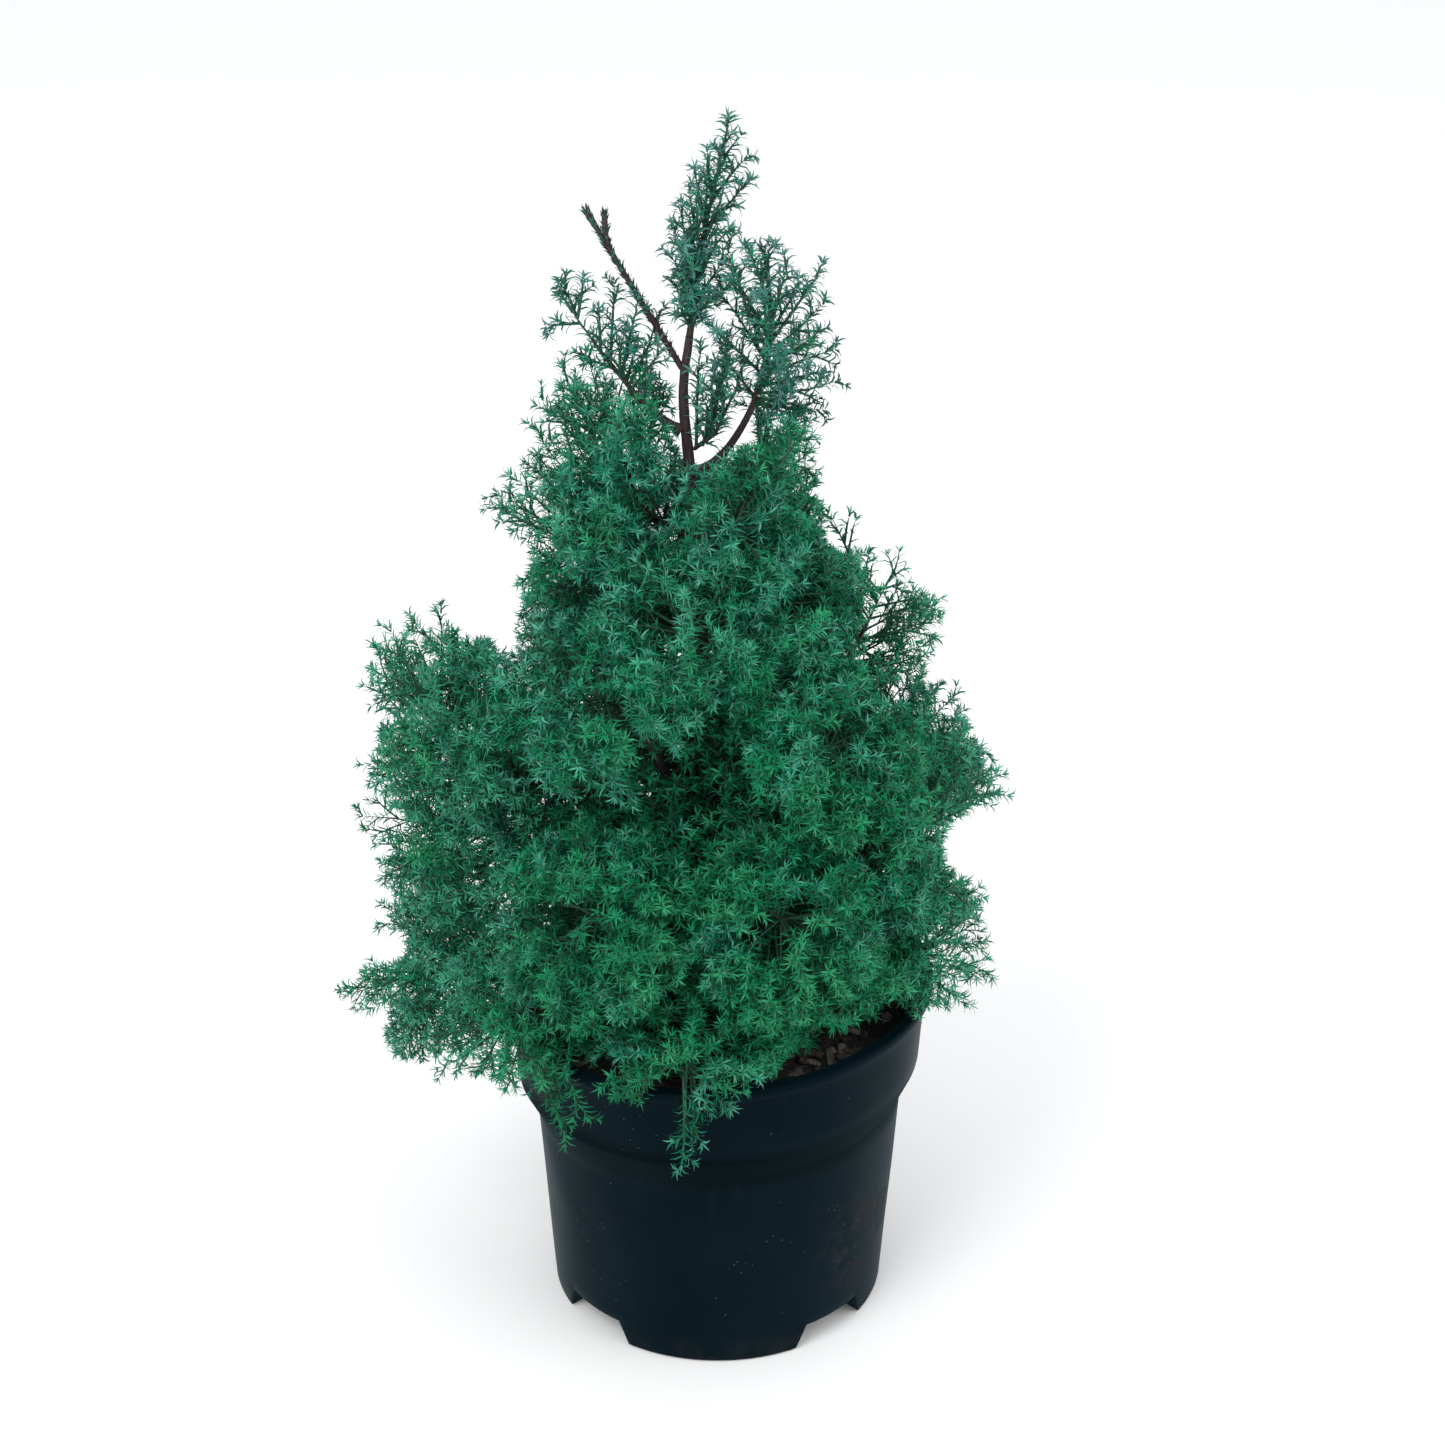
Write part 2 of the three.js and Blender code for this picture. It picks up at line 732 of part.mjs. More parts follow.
// How far a shoot can grow before it leaves its space
function roomAlong(root, heading, limit, fits) {
  let room = 0;
  while (room < limit && fits(root.clone().addScaledVector(heading, room + ROOM_STEP), true)) {
    room += ROOM_STEP;
  }
  return room;
}

function pointsOf(geometry) {
  const position = geometry.attributes.position;
  const points = [];
  for (let i = 0; i < position.count; i++) {
    points.push(new THREE.Vector3().fromBufferAttribute(position, i));
  }
  return points;
}

// A spray is narrowed and shortened until it fits its space, and left out where it doesn't
function fittedSpray(root, heading, limit, kind, bare, facing, fits) {
  const room = roomAlong(root, heading, limit, fits);
  for (const share of [1, 0.85, 0.7]) {
    const length = room * share;
    if (length < SHORTEST_SPRAY * limit) {
      return null;
    }
    const start = root.clone().addScaledVector(heading, -TWIG_RADIUS);
    const tip = root.clone().addScaledVector(heading, length);
    const width = kind.width * Math.sqrt(length / kind.spray) * share;
    const geometry = sprayGeometry(start, tip, width, bare, facing);
    if (pointsOf(geometry).every((point) => fits(point, false))) {
      return geometry;
    }
  }
  return null;
}

// Growth rule: a stem with an end spray, and round it the twigs in turn, each with its spray

function aroundStem(tangent, aside, turn) {
  const normal = aside.clone().addScaledVector(tangent, -aside.dot(tangent)).normalize();
  const binormal = tangent.clone().cross(normal);
  const angle = THREE.MathUtils.degToRad(turn);
  return normal.multiplyScalar(Math.cos(angle)).addScaledVector(binormal, Math.sin(angle));
}

// The thick of a dense mass: an uneven ball, longer along the stem and drawn in where its space ends
function core(plan, fits) {
  const share = KINDS[plan.kind].core;
  const size = new THREE.Vector3(plan.girth, plan.girth, plan.half * 0.95).multiplyScalar(share);
  const ahead = plan.tip.clone().sub(plan.start).normalize();
  const turn = new THREE.Quaternion().setFromUnitVectors(new THREE.Vector3(0, 0, 1), ahead);
  const draw = seededDraws(plan.seed + 7);
  const ball = new THREE.OctahedronGeometry(1, 1);
  ball.deleteAttribute("normal");
  ball.deleteAttribute("uv");
  const round = mergeVertices(ball, 1e-4);
  const points = pointsOf(round).map((corner) => {
    const swell = 1 + CORE_ROUGHNESS * (draw() - 0.5);
    const ray = corner.multiply(size).applyQuaternion(turn).multiplyScalar(swell);
    const at = (reach) => plan.middle.clone().addScaledVector(ray, reach);
    let reach = 1;
    while (reach > 0.2 && !fits(at(reach), false)) {
      reach -= 0.08;
    }
    return at(reach);
  });
  round.setFromPoints(points);
  const nearPot = plan.centre.z - plan.girth < POT_HEIGHT;
  return nearPot ? solidOf(round).subtract(potRoom()) : solidOf(round);
}

// A twig leaves the stem within its turn of the stem's length. The twigs of a dense mass stand all
// round the stem, and the others to both sides like a fan
function twigSpray(plan, turn, draw, fits) {
  const kind = KINDS[plan.kind];
  const aside = sideOf(plan.azimuth);
  const along = ((turn + draw()) / kind.twigs) % 1;
  const share = THREE.MathUtils.lerp(LOWEST_TWIG, 1, along);
  const root = plan.curve.getPoint(share);
  const tangent = plan.curve.getTangent(share);
  const loose = draw();
  const away = kind.core > 0
    ? aroundStem(tangent, aside, turn * GOLDEN_TURN + TWIG_TURN_PLAY * loose)
    : aroundStem(tangent, outward(plan.azimuth), 180 * (turn % 2) + FAN_TURN_PLAY * (loose - 0.5));
  const fork = THREE.MathUtils.degToRad(TWIG_FORK + TWIG_FORK_PLAY * (draw() - 0.5));
  const heading = tangent.multiplyScalar(Math.cos(fork)).addScaledVector(away, Math.sin(fork));
  heading.z += TWIG_LIFT;
  heading.normalize();
  const facing = heading.clone().cross(away).lerp(aside, 0.3).normalize();
  const limit = kind.spray * (1 - kind.dwindle * share);
  return fittedSpray(root, heading, limit, kind, kind.bare, facing, fits);
}

// A spray of the open top runs from its place on the stem to its own tip, flat to the front
function openSpray(plan, [share, tip, width], fits) {
  const root = plan.curve.getPoint(share);
  const heading = new THREE.Vector3(...tip).sub(root);
  const limit = heading.length();
  heading.normalize();
  return fittedSpray(root, heading, limit, { width, spray: limit }, END_BARE, outward(-90), fits);
}

// The end spray goes on from the stem. Where it hangs over the rim it lies flat to the pot's side
function endSpray(plan, fits) {
  const root = plan.curve.getPoint(1);
  const heading = plan.tip.clone().sub(root);
  const limit = heading.length();
  heading.normalize();
  const aside = sideOf(plan.azimuth);
  const facing = heading.z < HANGING ? aside.clone().cross(heading).normalize() : aside;
  return fittedSpray(root, heading, limit, KINDS[plan.kind], END_BARE, facing, fits);
}

function massSolid(plan, plans, beads) {
  const kind = KINDS[plan.kind];
  const fits = spaceOf(plan, plans, beads);
  const draw = seededDraws(plan.seed);
  const sprays = [endSpray(plan, fits)];
  for (const seen of plan.sprays || []) {
    sprays.push(openSpray(plan, seen, fits));
  }
  let grown = 0;
  for (let turn = 0; !plan.sprays && turn < 3 * kind.twigs && grown < kind.twigs; turn++) {
    const spray = twigSpray(plan, turn, draw, fits);
    sprays.push(spray);
    grown += spray ? 1 : 0;
  }
  const stem = limbGeometry(plan.curve, taper(STEM_RADIUS, 1), 3, 3, sideOf(plan.azimuth));
  const solids = [stem, ...sprays.filter(Boolean)].map(solidOf);
  if (kind.core > 0) {
    solids.push(core(plan, fits));
  }
  return largestPart(joinAll(solids));
}

// Pieces of wood

function bough(plan) {
  const bar = limbGeometry(plan.curve, taper(BOUGH_RADIUS, BOUGH_TIP_RADIUS), 6, 4, plan.aside);
  return meshOf(plan.name, solidOf(bar), finishes.bark);
}

// The bare shoot forks below its tip, and both ends swell into buds
function bareShoot(plan) {
  const main = limbGeometry(plan.curve, taper(SHOOT_RADIUS, 1.7), 5, 5, plan.aside);
  const fork = plan.curve.getPoint(0.74);
  const bend = new THREE.Vector3(-60, -1, 664);
  const tip = new THREE.Vector3(-60, -2, 682);
  const branch = new THREE.QuadraticBezierCurve3(fork, bend, tip);
  const second = limbGeometry(branch, taper(1.2, 1.4), 5, 2, plan.aside);
  return meshOf(plan.name, joinAll([main, second].map(solidOf)), finishes.bark);
}

// The whole plant

function plant() {
  const group = new THREE.Group();
  group.add(pot(), soil(), trunk());
  const boughs = [];
  const masses = [];
  for (const part of [...TIERS.map(tierPlans), topPlans()]) {
    boughs.push(...part.boughs);
    masses.push(...part.masses);
  }
  const shoot = bareShootPlan();
  const beads = limbBeads(trunkLine, (share) => trunkRadiusAt(trunkLine.getPoint(share).z), 90);
  for (const limb of [...boughs, shoot]) {
    beads.push(...limbBeads(limb.curve, taper(BOUGH_RADIUS, BOUGH_TIP_RADIUS), 16));
  }
  for (const plan of boughs) {
    group.add(bough(plan));
  }
  group.add(bareShoot(shoot));
  for (const plan of masses) {
    group.add(meshOf(plan.name, massSolid(plan, masses, beads), finishes.foliage));
  }
  return group;
}

export default plant();
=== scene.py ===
# The looks of a young potted hinoki cypress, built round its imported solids. The file follows the
# plant as it is put together: pot, soil, trunk, boughs, foliage, and last the studio.
import math
import bpy
import numpy as np
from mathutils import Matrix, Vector, noise


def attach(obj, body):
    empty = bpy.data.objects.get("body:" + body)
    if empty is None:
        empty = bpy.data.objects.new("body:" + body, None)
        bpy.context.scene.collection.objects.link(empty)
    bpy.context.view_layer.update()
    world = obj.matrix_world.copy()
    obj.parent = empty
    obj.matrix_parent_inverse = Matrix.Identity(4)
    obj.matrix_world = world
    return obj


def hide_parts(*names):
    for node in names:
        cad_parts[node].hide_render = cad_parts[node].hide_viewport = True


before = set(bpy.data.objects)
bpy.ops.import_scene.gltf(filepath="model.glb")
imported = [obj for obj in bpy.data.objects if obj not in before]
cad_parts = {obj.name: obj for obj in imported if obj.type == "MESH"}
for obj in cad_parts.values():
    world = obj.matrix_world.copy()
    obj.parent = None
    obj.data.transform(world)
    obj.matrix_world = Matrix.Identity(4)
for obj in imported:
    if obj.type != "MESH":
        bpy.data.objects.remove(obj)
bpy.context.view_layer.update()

# Pot: a thin nursery pot moulded in soft black plastic, with a flared collar, a rolled lip and
# four drainage notches in its foot. It is one shell: outside, lip, inside and floor.
MM = 0.001
POT_HEIGHT = 210.0
FOOT_RADIUS = 103.0
WAIST_RADIUS = 112.5
WAIST_HEIGHT = 137.0
COLLAR_RADIUS = 123.5
COLLAR_FOOT = 158.0
COLLAR_DRAFT = 1.5
LIP_RADIUS = 130.0
LIP_DROP = 7.0
POT_WALL = 2.0
POT_FLOOR = 3.0
POT_SIDES = 144
RIM_TILT = math.radians(3.2)
NOTCH_COUNT = 4
NOTCH_FIRST = -47.0
NOTCH_FOOT_WIDTH = 60.0
NOTCH_TOP_WIDTH = 42.0
NOTCH_HEIGHT = 17.0
NOTCH_DEPTH = 22.0
EDGE_ROUND = 0.7
EDGE_ANGLE = math.radians(34)
# Waves round the slack wall: how many, how deep, where they start and how they climb
SLACK_WAVES = [(3, 0.45, 0.8, 0.006), (7, 0.3, -1.1, 0.02), (13, 0.2, 0.0, 0.045)]
# Dried mud on the right, in metres: the middle of the smear, and where it starts and ends to fade
MUD_SPOT = (0.093, -0.062, 0.062)
MUD_FADE = (0.016, 0.046)


def deselect_all():
    bpy.ops.object.select_all(action="DESELECT")


def pick(piece):
    deselect_all()
    piece.select_set(True)
    bpy.context.view_layer.objects.active = piece


def moved_points(piece, move):
    """Runs every vertex through move, which takes and gives an array in millimetres."""
    mesh = piece.data
    points = np.empty(len(mesh.vertices) * 3)
    mesh.vertices.foreach_get("co", points)
    points = move(points.reshape(-1, 3) / MM) * MM
    mesh.vertices.foreach_set("co", points.ravel())
    mesh.update()


def turned(name, profile, sides):
    """A closed solid of revolution: a disc drawn out ring by ring along (radius, height) pairs."""
    deselect_all()
    radius, height = profile[0]
    bpy.ops.mesh.primitive_circle_add(
        vertices=sides, radius=radius * MM, fill_type="NGON", location=(0, 0, height * MM))
    piece = bpy.context.object
    piece.name = name
    bpy.ops.object.transform_apply(location=True, rotation=True, scale=True)
    bpy.ops.object.mode_set(mode="EDIT")
    bpy.ops.mesh.select_all(action="SELECT")
    for (r0, z0), (r1, z1) in zip(profile, profile[1:]):
        bpy.ops.mesh.extrude_region_move(TRANSFORM_OT_translate={"value": (0, 0, (z1 - z0) * MM)})
        bpy.ops.transform.resize(value=(r1 / r0, r1 / r0, 1), center_override=(0, 0, z1 * MM))
    bpy.ops.mesh.select_all(action="SELECT")
    bpy.ops.mesh.normals_make_consistent(inside=False)
    bpy.ops.object.mode_set(mode="OBJECT")
    return piece


def smooth_step(value, low, high):
    share = np.clip((value - low) / (high - low), 0, 1)
    return share * share * (3 - 2 * share)


def lean_of_rim(x, z):
    return x * math.tan(RIM_TILT) * smooth_step(z, 40.0, POT_HEIGHT)


def leaning(points):
    points[:, 2] += lean_of_rim(points[:, 0], points[:, 2])
    return points


def between(start, end, count):
    """Points of a straight run in the profile, without its first one."""
    return [tuple(np.array(start) + (np.array(end) - np.array(start)) * k / count)
            for k in range(1, count + 1)]


def notch_cutters(grow):
    """The notches as wedge-sided blocks that are wider at the ground, joined into one cutter."""
    overrun, depth = 6.0, 60.0
    height = NOTCH_HEIGHT + grow + overrun
    blocks = []
    for k in range(NOTCH_COUNT):
        deselect_all()
        bpy.ops.mesh.primitive_cube_add(size=1)
        block = bpy.context.object

        def shape(points, turn=math.radians(NOTCH_FIRST + 90.0 * k)):
            unit = points * MM
            half = np.where(unit[:, 2] > 0, NOTCH_TOP_WIDTH, NOTCH_FOOT_WIDTH) / 2 + grow
            out = unit[:, 0] * depth + FOOT_RADIUS - NOTCH_DEPTH - grow + depth / 2
            side = np.sign(unit[:, 1]) * half
            up = unit[:, 2] * height + height / 2 - overrun
            return np.stack([out * math.cos(turn) - side * math.sin(turn),
                             out * math.sin(turn) + side * math.cos(turn), up], 1)

        moved_points(block, shape)
        blocks.append(block)
    for block in blocks:
        block.select_set(True)
    bpy.ops.object.join()
    return bpy.context.object


def carve(piece, cutter):
    pick(piece)
    cut = piece.modifiers.new("cut", "BOOLEAN")
    cut.operation = "DIFFERENCE"
    cut.solver = "EXACT"
    cut.object = cutter
    bpy.ops.object.modifier_apply(modifier=cut.name)
    bpy.data.objects.remove(cutter, do_unlink=True)


def inside_profile(inset, top):
    thickness = POT_WALL + inset
    start = COLLAR_FOOT + 2
    spread = COLLAR_DRAFT * (top - start) / (POT_HEIGHT - start)
    return [(FOOT_RADIUS - thickness, POT_FLOOR + inset), (WAIST_RADIUS - thickness, WAIST_HEIGHT),
            (COLLAR_RADIUS - thickness, start), (COLLAR_RADIUS + spread - thickness, top)]


def pot_outside():
    foot = (FOOT_RADIUS, 1.5)
    waist = (WAIST_RADIUS, WAIST_HEIGHT)
    collar = (COLLAR_RADIUS - 1, COLLAR_FOOT)
    throat = (COLLAR_RADIUS + COLLAR_DRAFT, POT_HEIGHT - LIP_DROP - 3)
    return [
        (FOOT_RADIUS - 1.5, 0), foot, *between(foot, waist, 12),
        *between(waist, collar, 4), *between(collar, throat, 4),
        (LIP_RADIUS - 1.6, POT_HEIGHT - LIP_DROP - 0.8), (LIP_RADIUS - 0.5, POT_HEIGHT - LIP_DROP),
        (LIP_RADIUS, POT_HEIGHT - 4.5), (LIP_RADIUS, POT_HEIGHT - 1.8),
        (LIP_RADIUS - 0.6, POT_HEIGHT - 0.6), (LIP_RADIUS - 2.0, POT_HEIGHT),
    ]


def slack(points):
    """The thin wall gives a little: shallow waves round it, none at the foot."""
    angle = np.arctan2(points[:, 1], points[:, 0])
    radius = np.hypot(points[:, 0], points[:, 1])
    z = points[:, 2]
    wave = sum(depth * np.sin(count * angle + start + z * climb)
               for count, depth, start, climb in SLACK_WAVES)
    give = wave * smooth_step(z, 20, 90) * (radius > 60)
    points[:, 0] += give * np.cos(angle)
    points[:, 1] += give * np.sin(angle)
    return points


def moulded_pot():
    shell = turned("nursery_pot", pot_outside(), POT_SIDES)
    hollow = turned("hollow", inside_profile(0, POT_HEIGHT + 5), POT_SIDES)
    for piece in (shell, hollow):
        moved_points(piece, lambda points: leaning(slack(points)))
    carve(hollow, notch_cutters(POT_WALL))
    carve(shell, notch_cutters(0))
    carve(shell, hollow)
    pick(shell)
    soften = shell.modifiers.new("soften", "BEVEL")
    soften.width = EDGE_ROUND * MM
    soften.segments = 2
    soften.limit_method = "ANGLE"
    soften.angle_limit = EDGE_ANGLE
    soften.use_clamp_overlap = True
    bpy.ops.object.modifier_apply(modifier=soften.name)
    bpy.ops.object.shade_smooth_by_angle(angle=EDGE_ANGLE)
    return shell


def colour(r, g, b):
    """Base colour from 0 to 255 values, as the shader wants it."""
    parts = [c / 255 for c in (r, g, b)]
    return (*[c / 12.92 if c <= 0.04045 else ((c + 0.055) / 1.055) ** 2.4 for c in parts], 1)


class Nodes:
    """Short words for wiring a material or a node group."""

    def __init__(self, tree):
        self.tree = tree

    def add(self, kind, inputs=(), **settings):
        node = self.tree.nodes.new(kind)
        for key, value in settings.items():
            setattr(node, key, value)
        for key, value in dict(inputs).items():
            if isinstance(value, bpy.types.NodeSocket):
                self.tree.links.new(value, node.inputs[key])
            else:
                node.inputs[key].default_value = value
        return node

    def place(self):
        return self.add("ShaderNodeTexCoord").outputs["Object"]

    def stretched(self, scale):
        return self.add("ShaderNodeMapping", {"Vector": self.place(), "Scale": scale}).outputs[0]

    def fractal(self, vector, scale, detail=4.0, rough=0.55):
        return self.add("ShaderNodeTexNoise", {
            "Vector": vector, "Scale": scale, "Detail": detail, "Roughness": rough}).outputs["Fac"]

    def ramp(self, value, low, high, to_low=0.0, to_high=1.0):
        return self.add("ShaderNodeMapRange", {
            "Value": value, "From Min": low, "From Max": high, "To Min": to_low, "To Max": to_high,
        }).outputs["Result"]

    def mix(self, share, first, second):
        inputs = {0: share, 6: first, 7: second}
        return self.add("ShaderNodeMix", inputs, data_type="RGBA").outputs[2]

    def maths(self, operation, first, second):
        return self.add("ShaderNodeMath", {0: first, 1: second}, operation=operation).outputs[0]

    def times(self, first, second):
        return self.maths("MULTIPLY", first, second)


def new_material(name, rough, specular):
    material = bpy.data.materials.new(name)
    material.use_nodes = True
    shader = material.node_tree.nodes["Principled BSDF"]
    shader.inputs["Roughness"].default_value = rough
    shader.inputs["Specular IOR Level"].default_value = specular
    return material, Nodes(material.node_tree), shader


def wire(n, shader, base, rough=None, relief=None):
    """Feeds the shader. Relief is given as height, strength and reach in metres."""
    links = n.tree.links
    links.new(base, shader.inputs["Base Color"])
    if rough is not None:
        links.new(rough, shader.inputs["Roughness"])
    if relief is not None:
        bump = n.add("ShaderNodeBump", zip(("Height", "Strength", "Distance"), relief))
        links.new(bump.outputs["Normal"], shader.inputs["Normal"])


def new_group(name, inputs, outputs):
    """An empty node group: its inputs as (name, kind, value), its outputs as (name, kind)."""
    group = bpy.data.node_groups.new(name, "ShaderNodeTree")
    for label, kind, value in inputs:
        group.interface.new_socket(
            name=label, in_out="INPUT", socket_type="NodeSocket" + kind).default_value = value
    for label, kind in outputs:
        group.interface.new_socket(name=label, in_out="OUTPUT", socket_type="NodeSocket" + kind)
    given = group.nodes.new("NodeGroupInput").outputs
    return Nodes(group), given, group.nodes.new("NodeGroupOutput").inputs


def specks_group():
    """Scattered pale specks, such as dust on plastic or grit in soil, as a mask from 0 to 1."""
    n, given, out = new_group(
        "scattered_specks",
        [("Scale", "Float", 200.0), ("Size", "Float", 0.12), ("Cover", "Float", 0.5)],
        [("Mask", "Float")])
    place = n.place()
    cells = n.add("ShaderNodeTexVoronoi", {"Vector": place, "Scale": given["Scale"]})
    dots = n.maths("LESS_THAN", cells.outputs["Distance"], given["Size"])
    kept = n.maths("GREATER_THAN", n.fractal(place, 22.0, 2.0), given["Cover"])
    n.tree.links.new(n.times(dots, kept), out["Mask"])
    return n.tree


def mottled_group():
    """A cloudy pattern, and one colour shaded into another by it."""
    n, given, out = new_group(
        "mottled_colour",
        [("Place", "Vector", (0, 0, 0)), ("Scale", "Float", 60.0), ("Detail", "Float", 4.0),
         ("Roughness", "Float", 0.55), ("Low", "Float", 0.35), ("High", "Float", 0.65),
         ("Dark", "Color", (0, 0, 0, 1)), ("Pale", "Color", (1, 1, 1, 1))],
        [("Colour", "Color"), ("Cloud", "Float")])
    cloud = n.fractal(given["Place"], given["Scale"], given["Detail"], given["Roughness"])
    shade = n.mix(n.ramp(cloud, given["Low"], given["High"]), given["Dark"], given["Pale"])
    n.tree.links.new(shade, out["Colour"])
    n.tree.links.new(cloud, out["Cloud"])
    return n.tree


specks = specks_group()
mottled_colour = mottled_group()


def speckled(n, scale, size, cover):
    given = {"Scale": scale, "Size": size, "Cover": cover}
    return n.add("ShaderNodeGroup", given, node_tree=specks).outputs["Mask"]


def mottled(n, place, cloud, span, dark, pale):
    """Dark mottled with pale by a cloud of scale, detail and roughness, and that cloud itself."""
    keys = ("Place", "Scale", "Detail", "Roughness", "Low", "High", "Dark", "Pale")
    given = zip(keys, (place, *cloud, *span, dark, pale))
    return n.add("ShaderNodeGroup", given, node_tree=mottled_colour).outputs


def black_plastic():
    material, n, shader = new_material("black_plastic", 0.45, 0.02)
    shader.inputs["Sheen Weight"].default_value = 0.04
    shader.inputs["Sheen Tint"].default_value = (0.3, 0.75, 1.0, 1)
    shader.inputs["Specular Tint"].default_value = (0.6, 0.86, 1.0, 1)
    place = n.place()
    body, cloud = mottled(
        n, place, (9.0, 5.0, 0.55), (0.35, 0.7), colour(2, 13, 18), colour(6, 20, 26))
    streak = n.fractal(n.stretched((60.0, 60.0, 5.0)), 1.0, 4.0)
    worn = n.mix(n.ramp(streak, 0.6, 0.82, 0.0, 0.2), body, colour(30, 48, 56))
    dusty = n.mix(n.times(speckled(n, 210.0, 0.1, 0.6), 0.35), worn, colour(96, 110, 112))
    # Painted shade: the down-facing band under the collar is darkened almost to black
    height = n.add("ShaderNodeSeparateXYZ", {0: place}).outputs["Z"]
    shade = n.times(n.ramp(height, 0.128, 0.142), n.ramp(height, 0.156, 0.166, 1.0, 0.0))
    painted_collar_shade = n.mix(n.times(shade, 0.95), dusty, colour(0, 1, 2))
    # Dried mud: a smear low on the right and a little round the foot
    spot = n.add("ShaderNodeVectorMath", {0: place, 1: MUD_SPOT}, operation="DISTANCE")
    smear = n.ramp(spot.outputs["Value"], *MUD_FADE, 1.0, 0.0)
    foot = n.ramp(height, 0.0, 0.02, 0.3, 0.0)
    patchy = n.ramp(n.fractal(place, 55.0, 6.0, 0.65), 0.46, 0.62)
    mud = n.times(n.maths("MAXIMUM", smear, foot), patchy)
    base = n.mix(n.times(mud, 0.6), painted_collar_shade, colour(62, 52, 48))
    # The mud and the painted shade under the collar are both made rougher
    rough_mud_and_shade = n.times(n.maths("MAXIMUM", mud, shade), 0.4)
    rough = n.maths("ADD", n.ramp(cloud, 0.3, 0.75, 0.34, 0.5), rough_mud_and_shade)
    wire(n, shader, base, rough, (n.fractal(place, 900.0, 2.0), 0.12, 0.0004))
    return material


nursery_pot = moulded_pot()
nursery_pot.data.materials.append(black_plastic())
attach(nursery_pot, "root")
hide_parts("pot")

# Soil: a moist mix of dark peat and composted bark that fills the pot to a finger's width below
# the lip. It lies in low heaps, level where the trunk stands, with bark chips on top of it.
SOIL_DROP = 14.0
SOIL_RELIEF = 3.5
GAP = 0.3
SOIL_TOP = POT_HEIGHT - SOIL_DROP - GAP
SOIL_SIDES = 120
SOIL_RINGS = 46
LEVEL_WITHIN = 20
HEAPS_FROM = 60
CHIP_COUNT = 420
CHIPS_WITHIN = 116
# Length, width, thickness and curl of each kind of bark chip, and its share of all the chips
CHIP_KINDS = [(11, 6, 1.6, 1.4, 0.24), (16, 5, 1.8, 1.0, 0.16), (7, 5, 1.6, 0.6, 0.25),
              (21, 8, 2.0, 2.4, 0.07), (4.5, 3, 1.5, 0.2, 0.28)]


def soil_swell(x, y):
    """The soil's heaps and lean, which die out where the trunk stands."""
    heaps = np.sin(x * 0.061 + 1.3) * np.cos(y * 0.073) + 0.5 * np.sin(y * 0.13 - x * 0.05)
    swell = lean_of_rim(x, SOIL_TOP) + SOIL_RELIEF * heaps
    return swell * smooth_step(np.hypot(x, y), LEVEL_WITHIN, HEAPS_FROM)


def crumbs(point):
    coarse = noise.fractal(Vector(point) * 0.05, 0.9, 2.1, 4)
    return 1.7 * coarse + 0.9 * noise.noise(Vector(point) * 0.32)


def settled_soil():
    wall = inside_profile(GAP, SOIL_TOP)
    profile = wall[:1] + between(wall[0], wall[1], 4) + wall[2:]
    outer = profile[-1][0]
    profile += [(outer * (1 - k / SOIL_RINGS), SOIL_TOP) for k in range(1, SOIL_RINGS - 1)]
    body = turned("potting_mix", profile, SOIL_SIDES)

    def settle(points):
        radius = np.hypot(points[:, 0], points[:, 1])
        top = points[:, 2] > SOIL_TOP - 0.01
        points[~top] = leaning(points[~top])
        rough = np.array([crumbs(p) for p in points]) * smooth_step(radius, 8, LEVEL_WITHIN)
        rise = soil_swell(points[:, 0], points[:, 1]) + rough
        points[:, 2] = np.where(top, SOIL_TOP + rise, points[:, 2])
        return points

    moved_points(body, settle)
    carve(body, notch_cutters(POT_WALL + GAP))
    pick(body)
    bpy.ops.object.shade_smooth_by_angle(angle=math.radians(60))
    return body


def dark_soil():
    material, n, shader = new_material("dark_soil", 0.92, 0.25)
    place = n.place()
    earth, clods = mottled(
        n, place, (120.0, 6.0, 0.7), (0.35, 0.7), colour(27, 28, 28), colour(60, 57, 55))
    damp = n.fractal(place, 22.0, 3.0)
    moist = n.mix(n.ramp(damp, 0.4, 0.65, 0.0, 0.6), earth, colour(24, 27, 28))
    grit = n.times(speckled(n, 330.0, 0.2, 0.5), 0.6)
    base = n.mix(grit, moist, colour(110, 100, 92))
    wire(n, shader, base, n.ramp(damp, 0.35, 0.7, 0.95, 0.7), (clods, 0.8, 0.003))
    return material


def chip_shape(length, width, thick, curl):
    """One curled flake of bark, modelled from a block: cut finer, bevelled and bent."""
    deselect_all()
    bpy.ops.mesh.primitive_cube_add(size=1)
    flake = bpy.context.object
    bpy.ops.object.mode_set(mode="EDIT")
    bpy.ops.mesh.select_all(action="SELECT")
    bpy.ops.mesh.bevel(offset=0.12, segments=1, affect="EDGES")
    bpy.ops.mesh.subdivide(number_cuts=1)
    bpy.ops.mesh.quads_convert_to_tris()
    bpy.ops.object.mode_set(mode="OBJECT")
    unit = np.array([v.co for v in flake.data.vertices])
    faces = np.array([p.vertices for p in flake.data.polygons])
    bpy.data.objects.remove(flake, do_unlink=True)
    ragged = np.array([noise.noise(Vector(p) * 2.3 + Vector((length, width, 0))) for p in unit])
    unit[:, 0] *= length * (1 + 0.5 * ragged)
    unit[:, 1] *= width * (1 - 0.25 * (unit[:, 0] / length) ** 2 + 0.4 * ragged)
    unit[:, 2] = unit[:, 2] * thick * (1 + 0.5 * ragged) - curl * (unit[:, 1] / width) ** 2
    return unit, faces


def placed(name, data):
    """A new object in the scene."""
    thing = bpy.data.objects.new(name, data)
    bpy.context.scene.collection.objects.link(thing)
    return thing


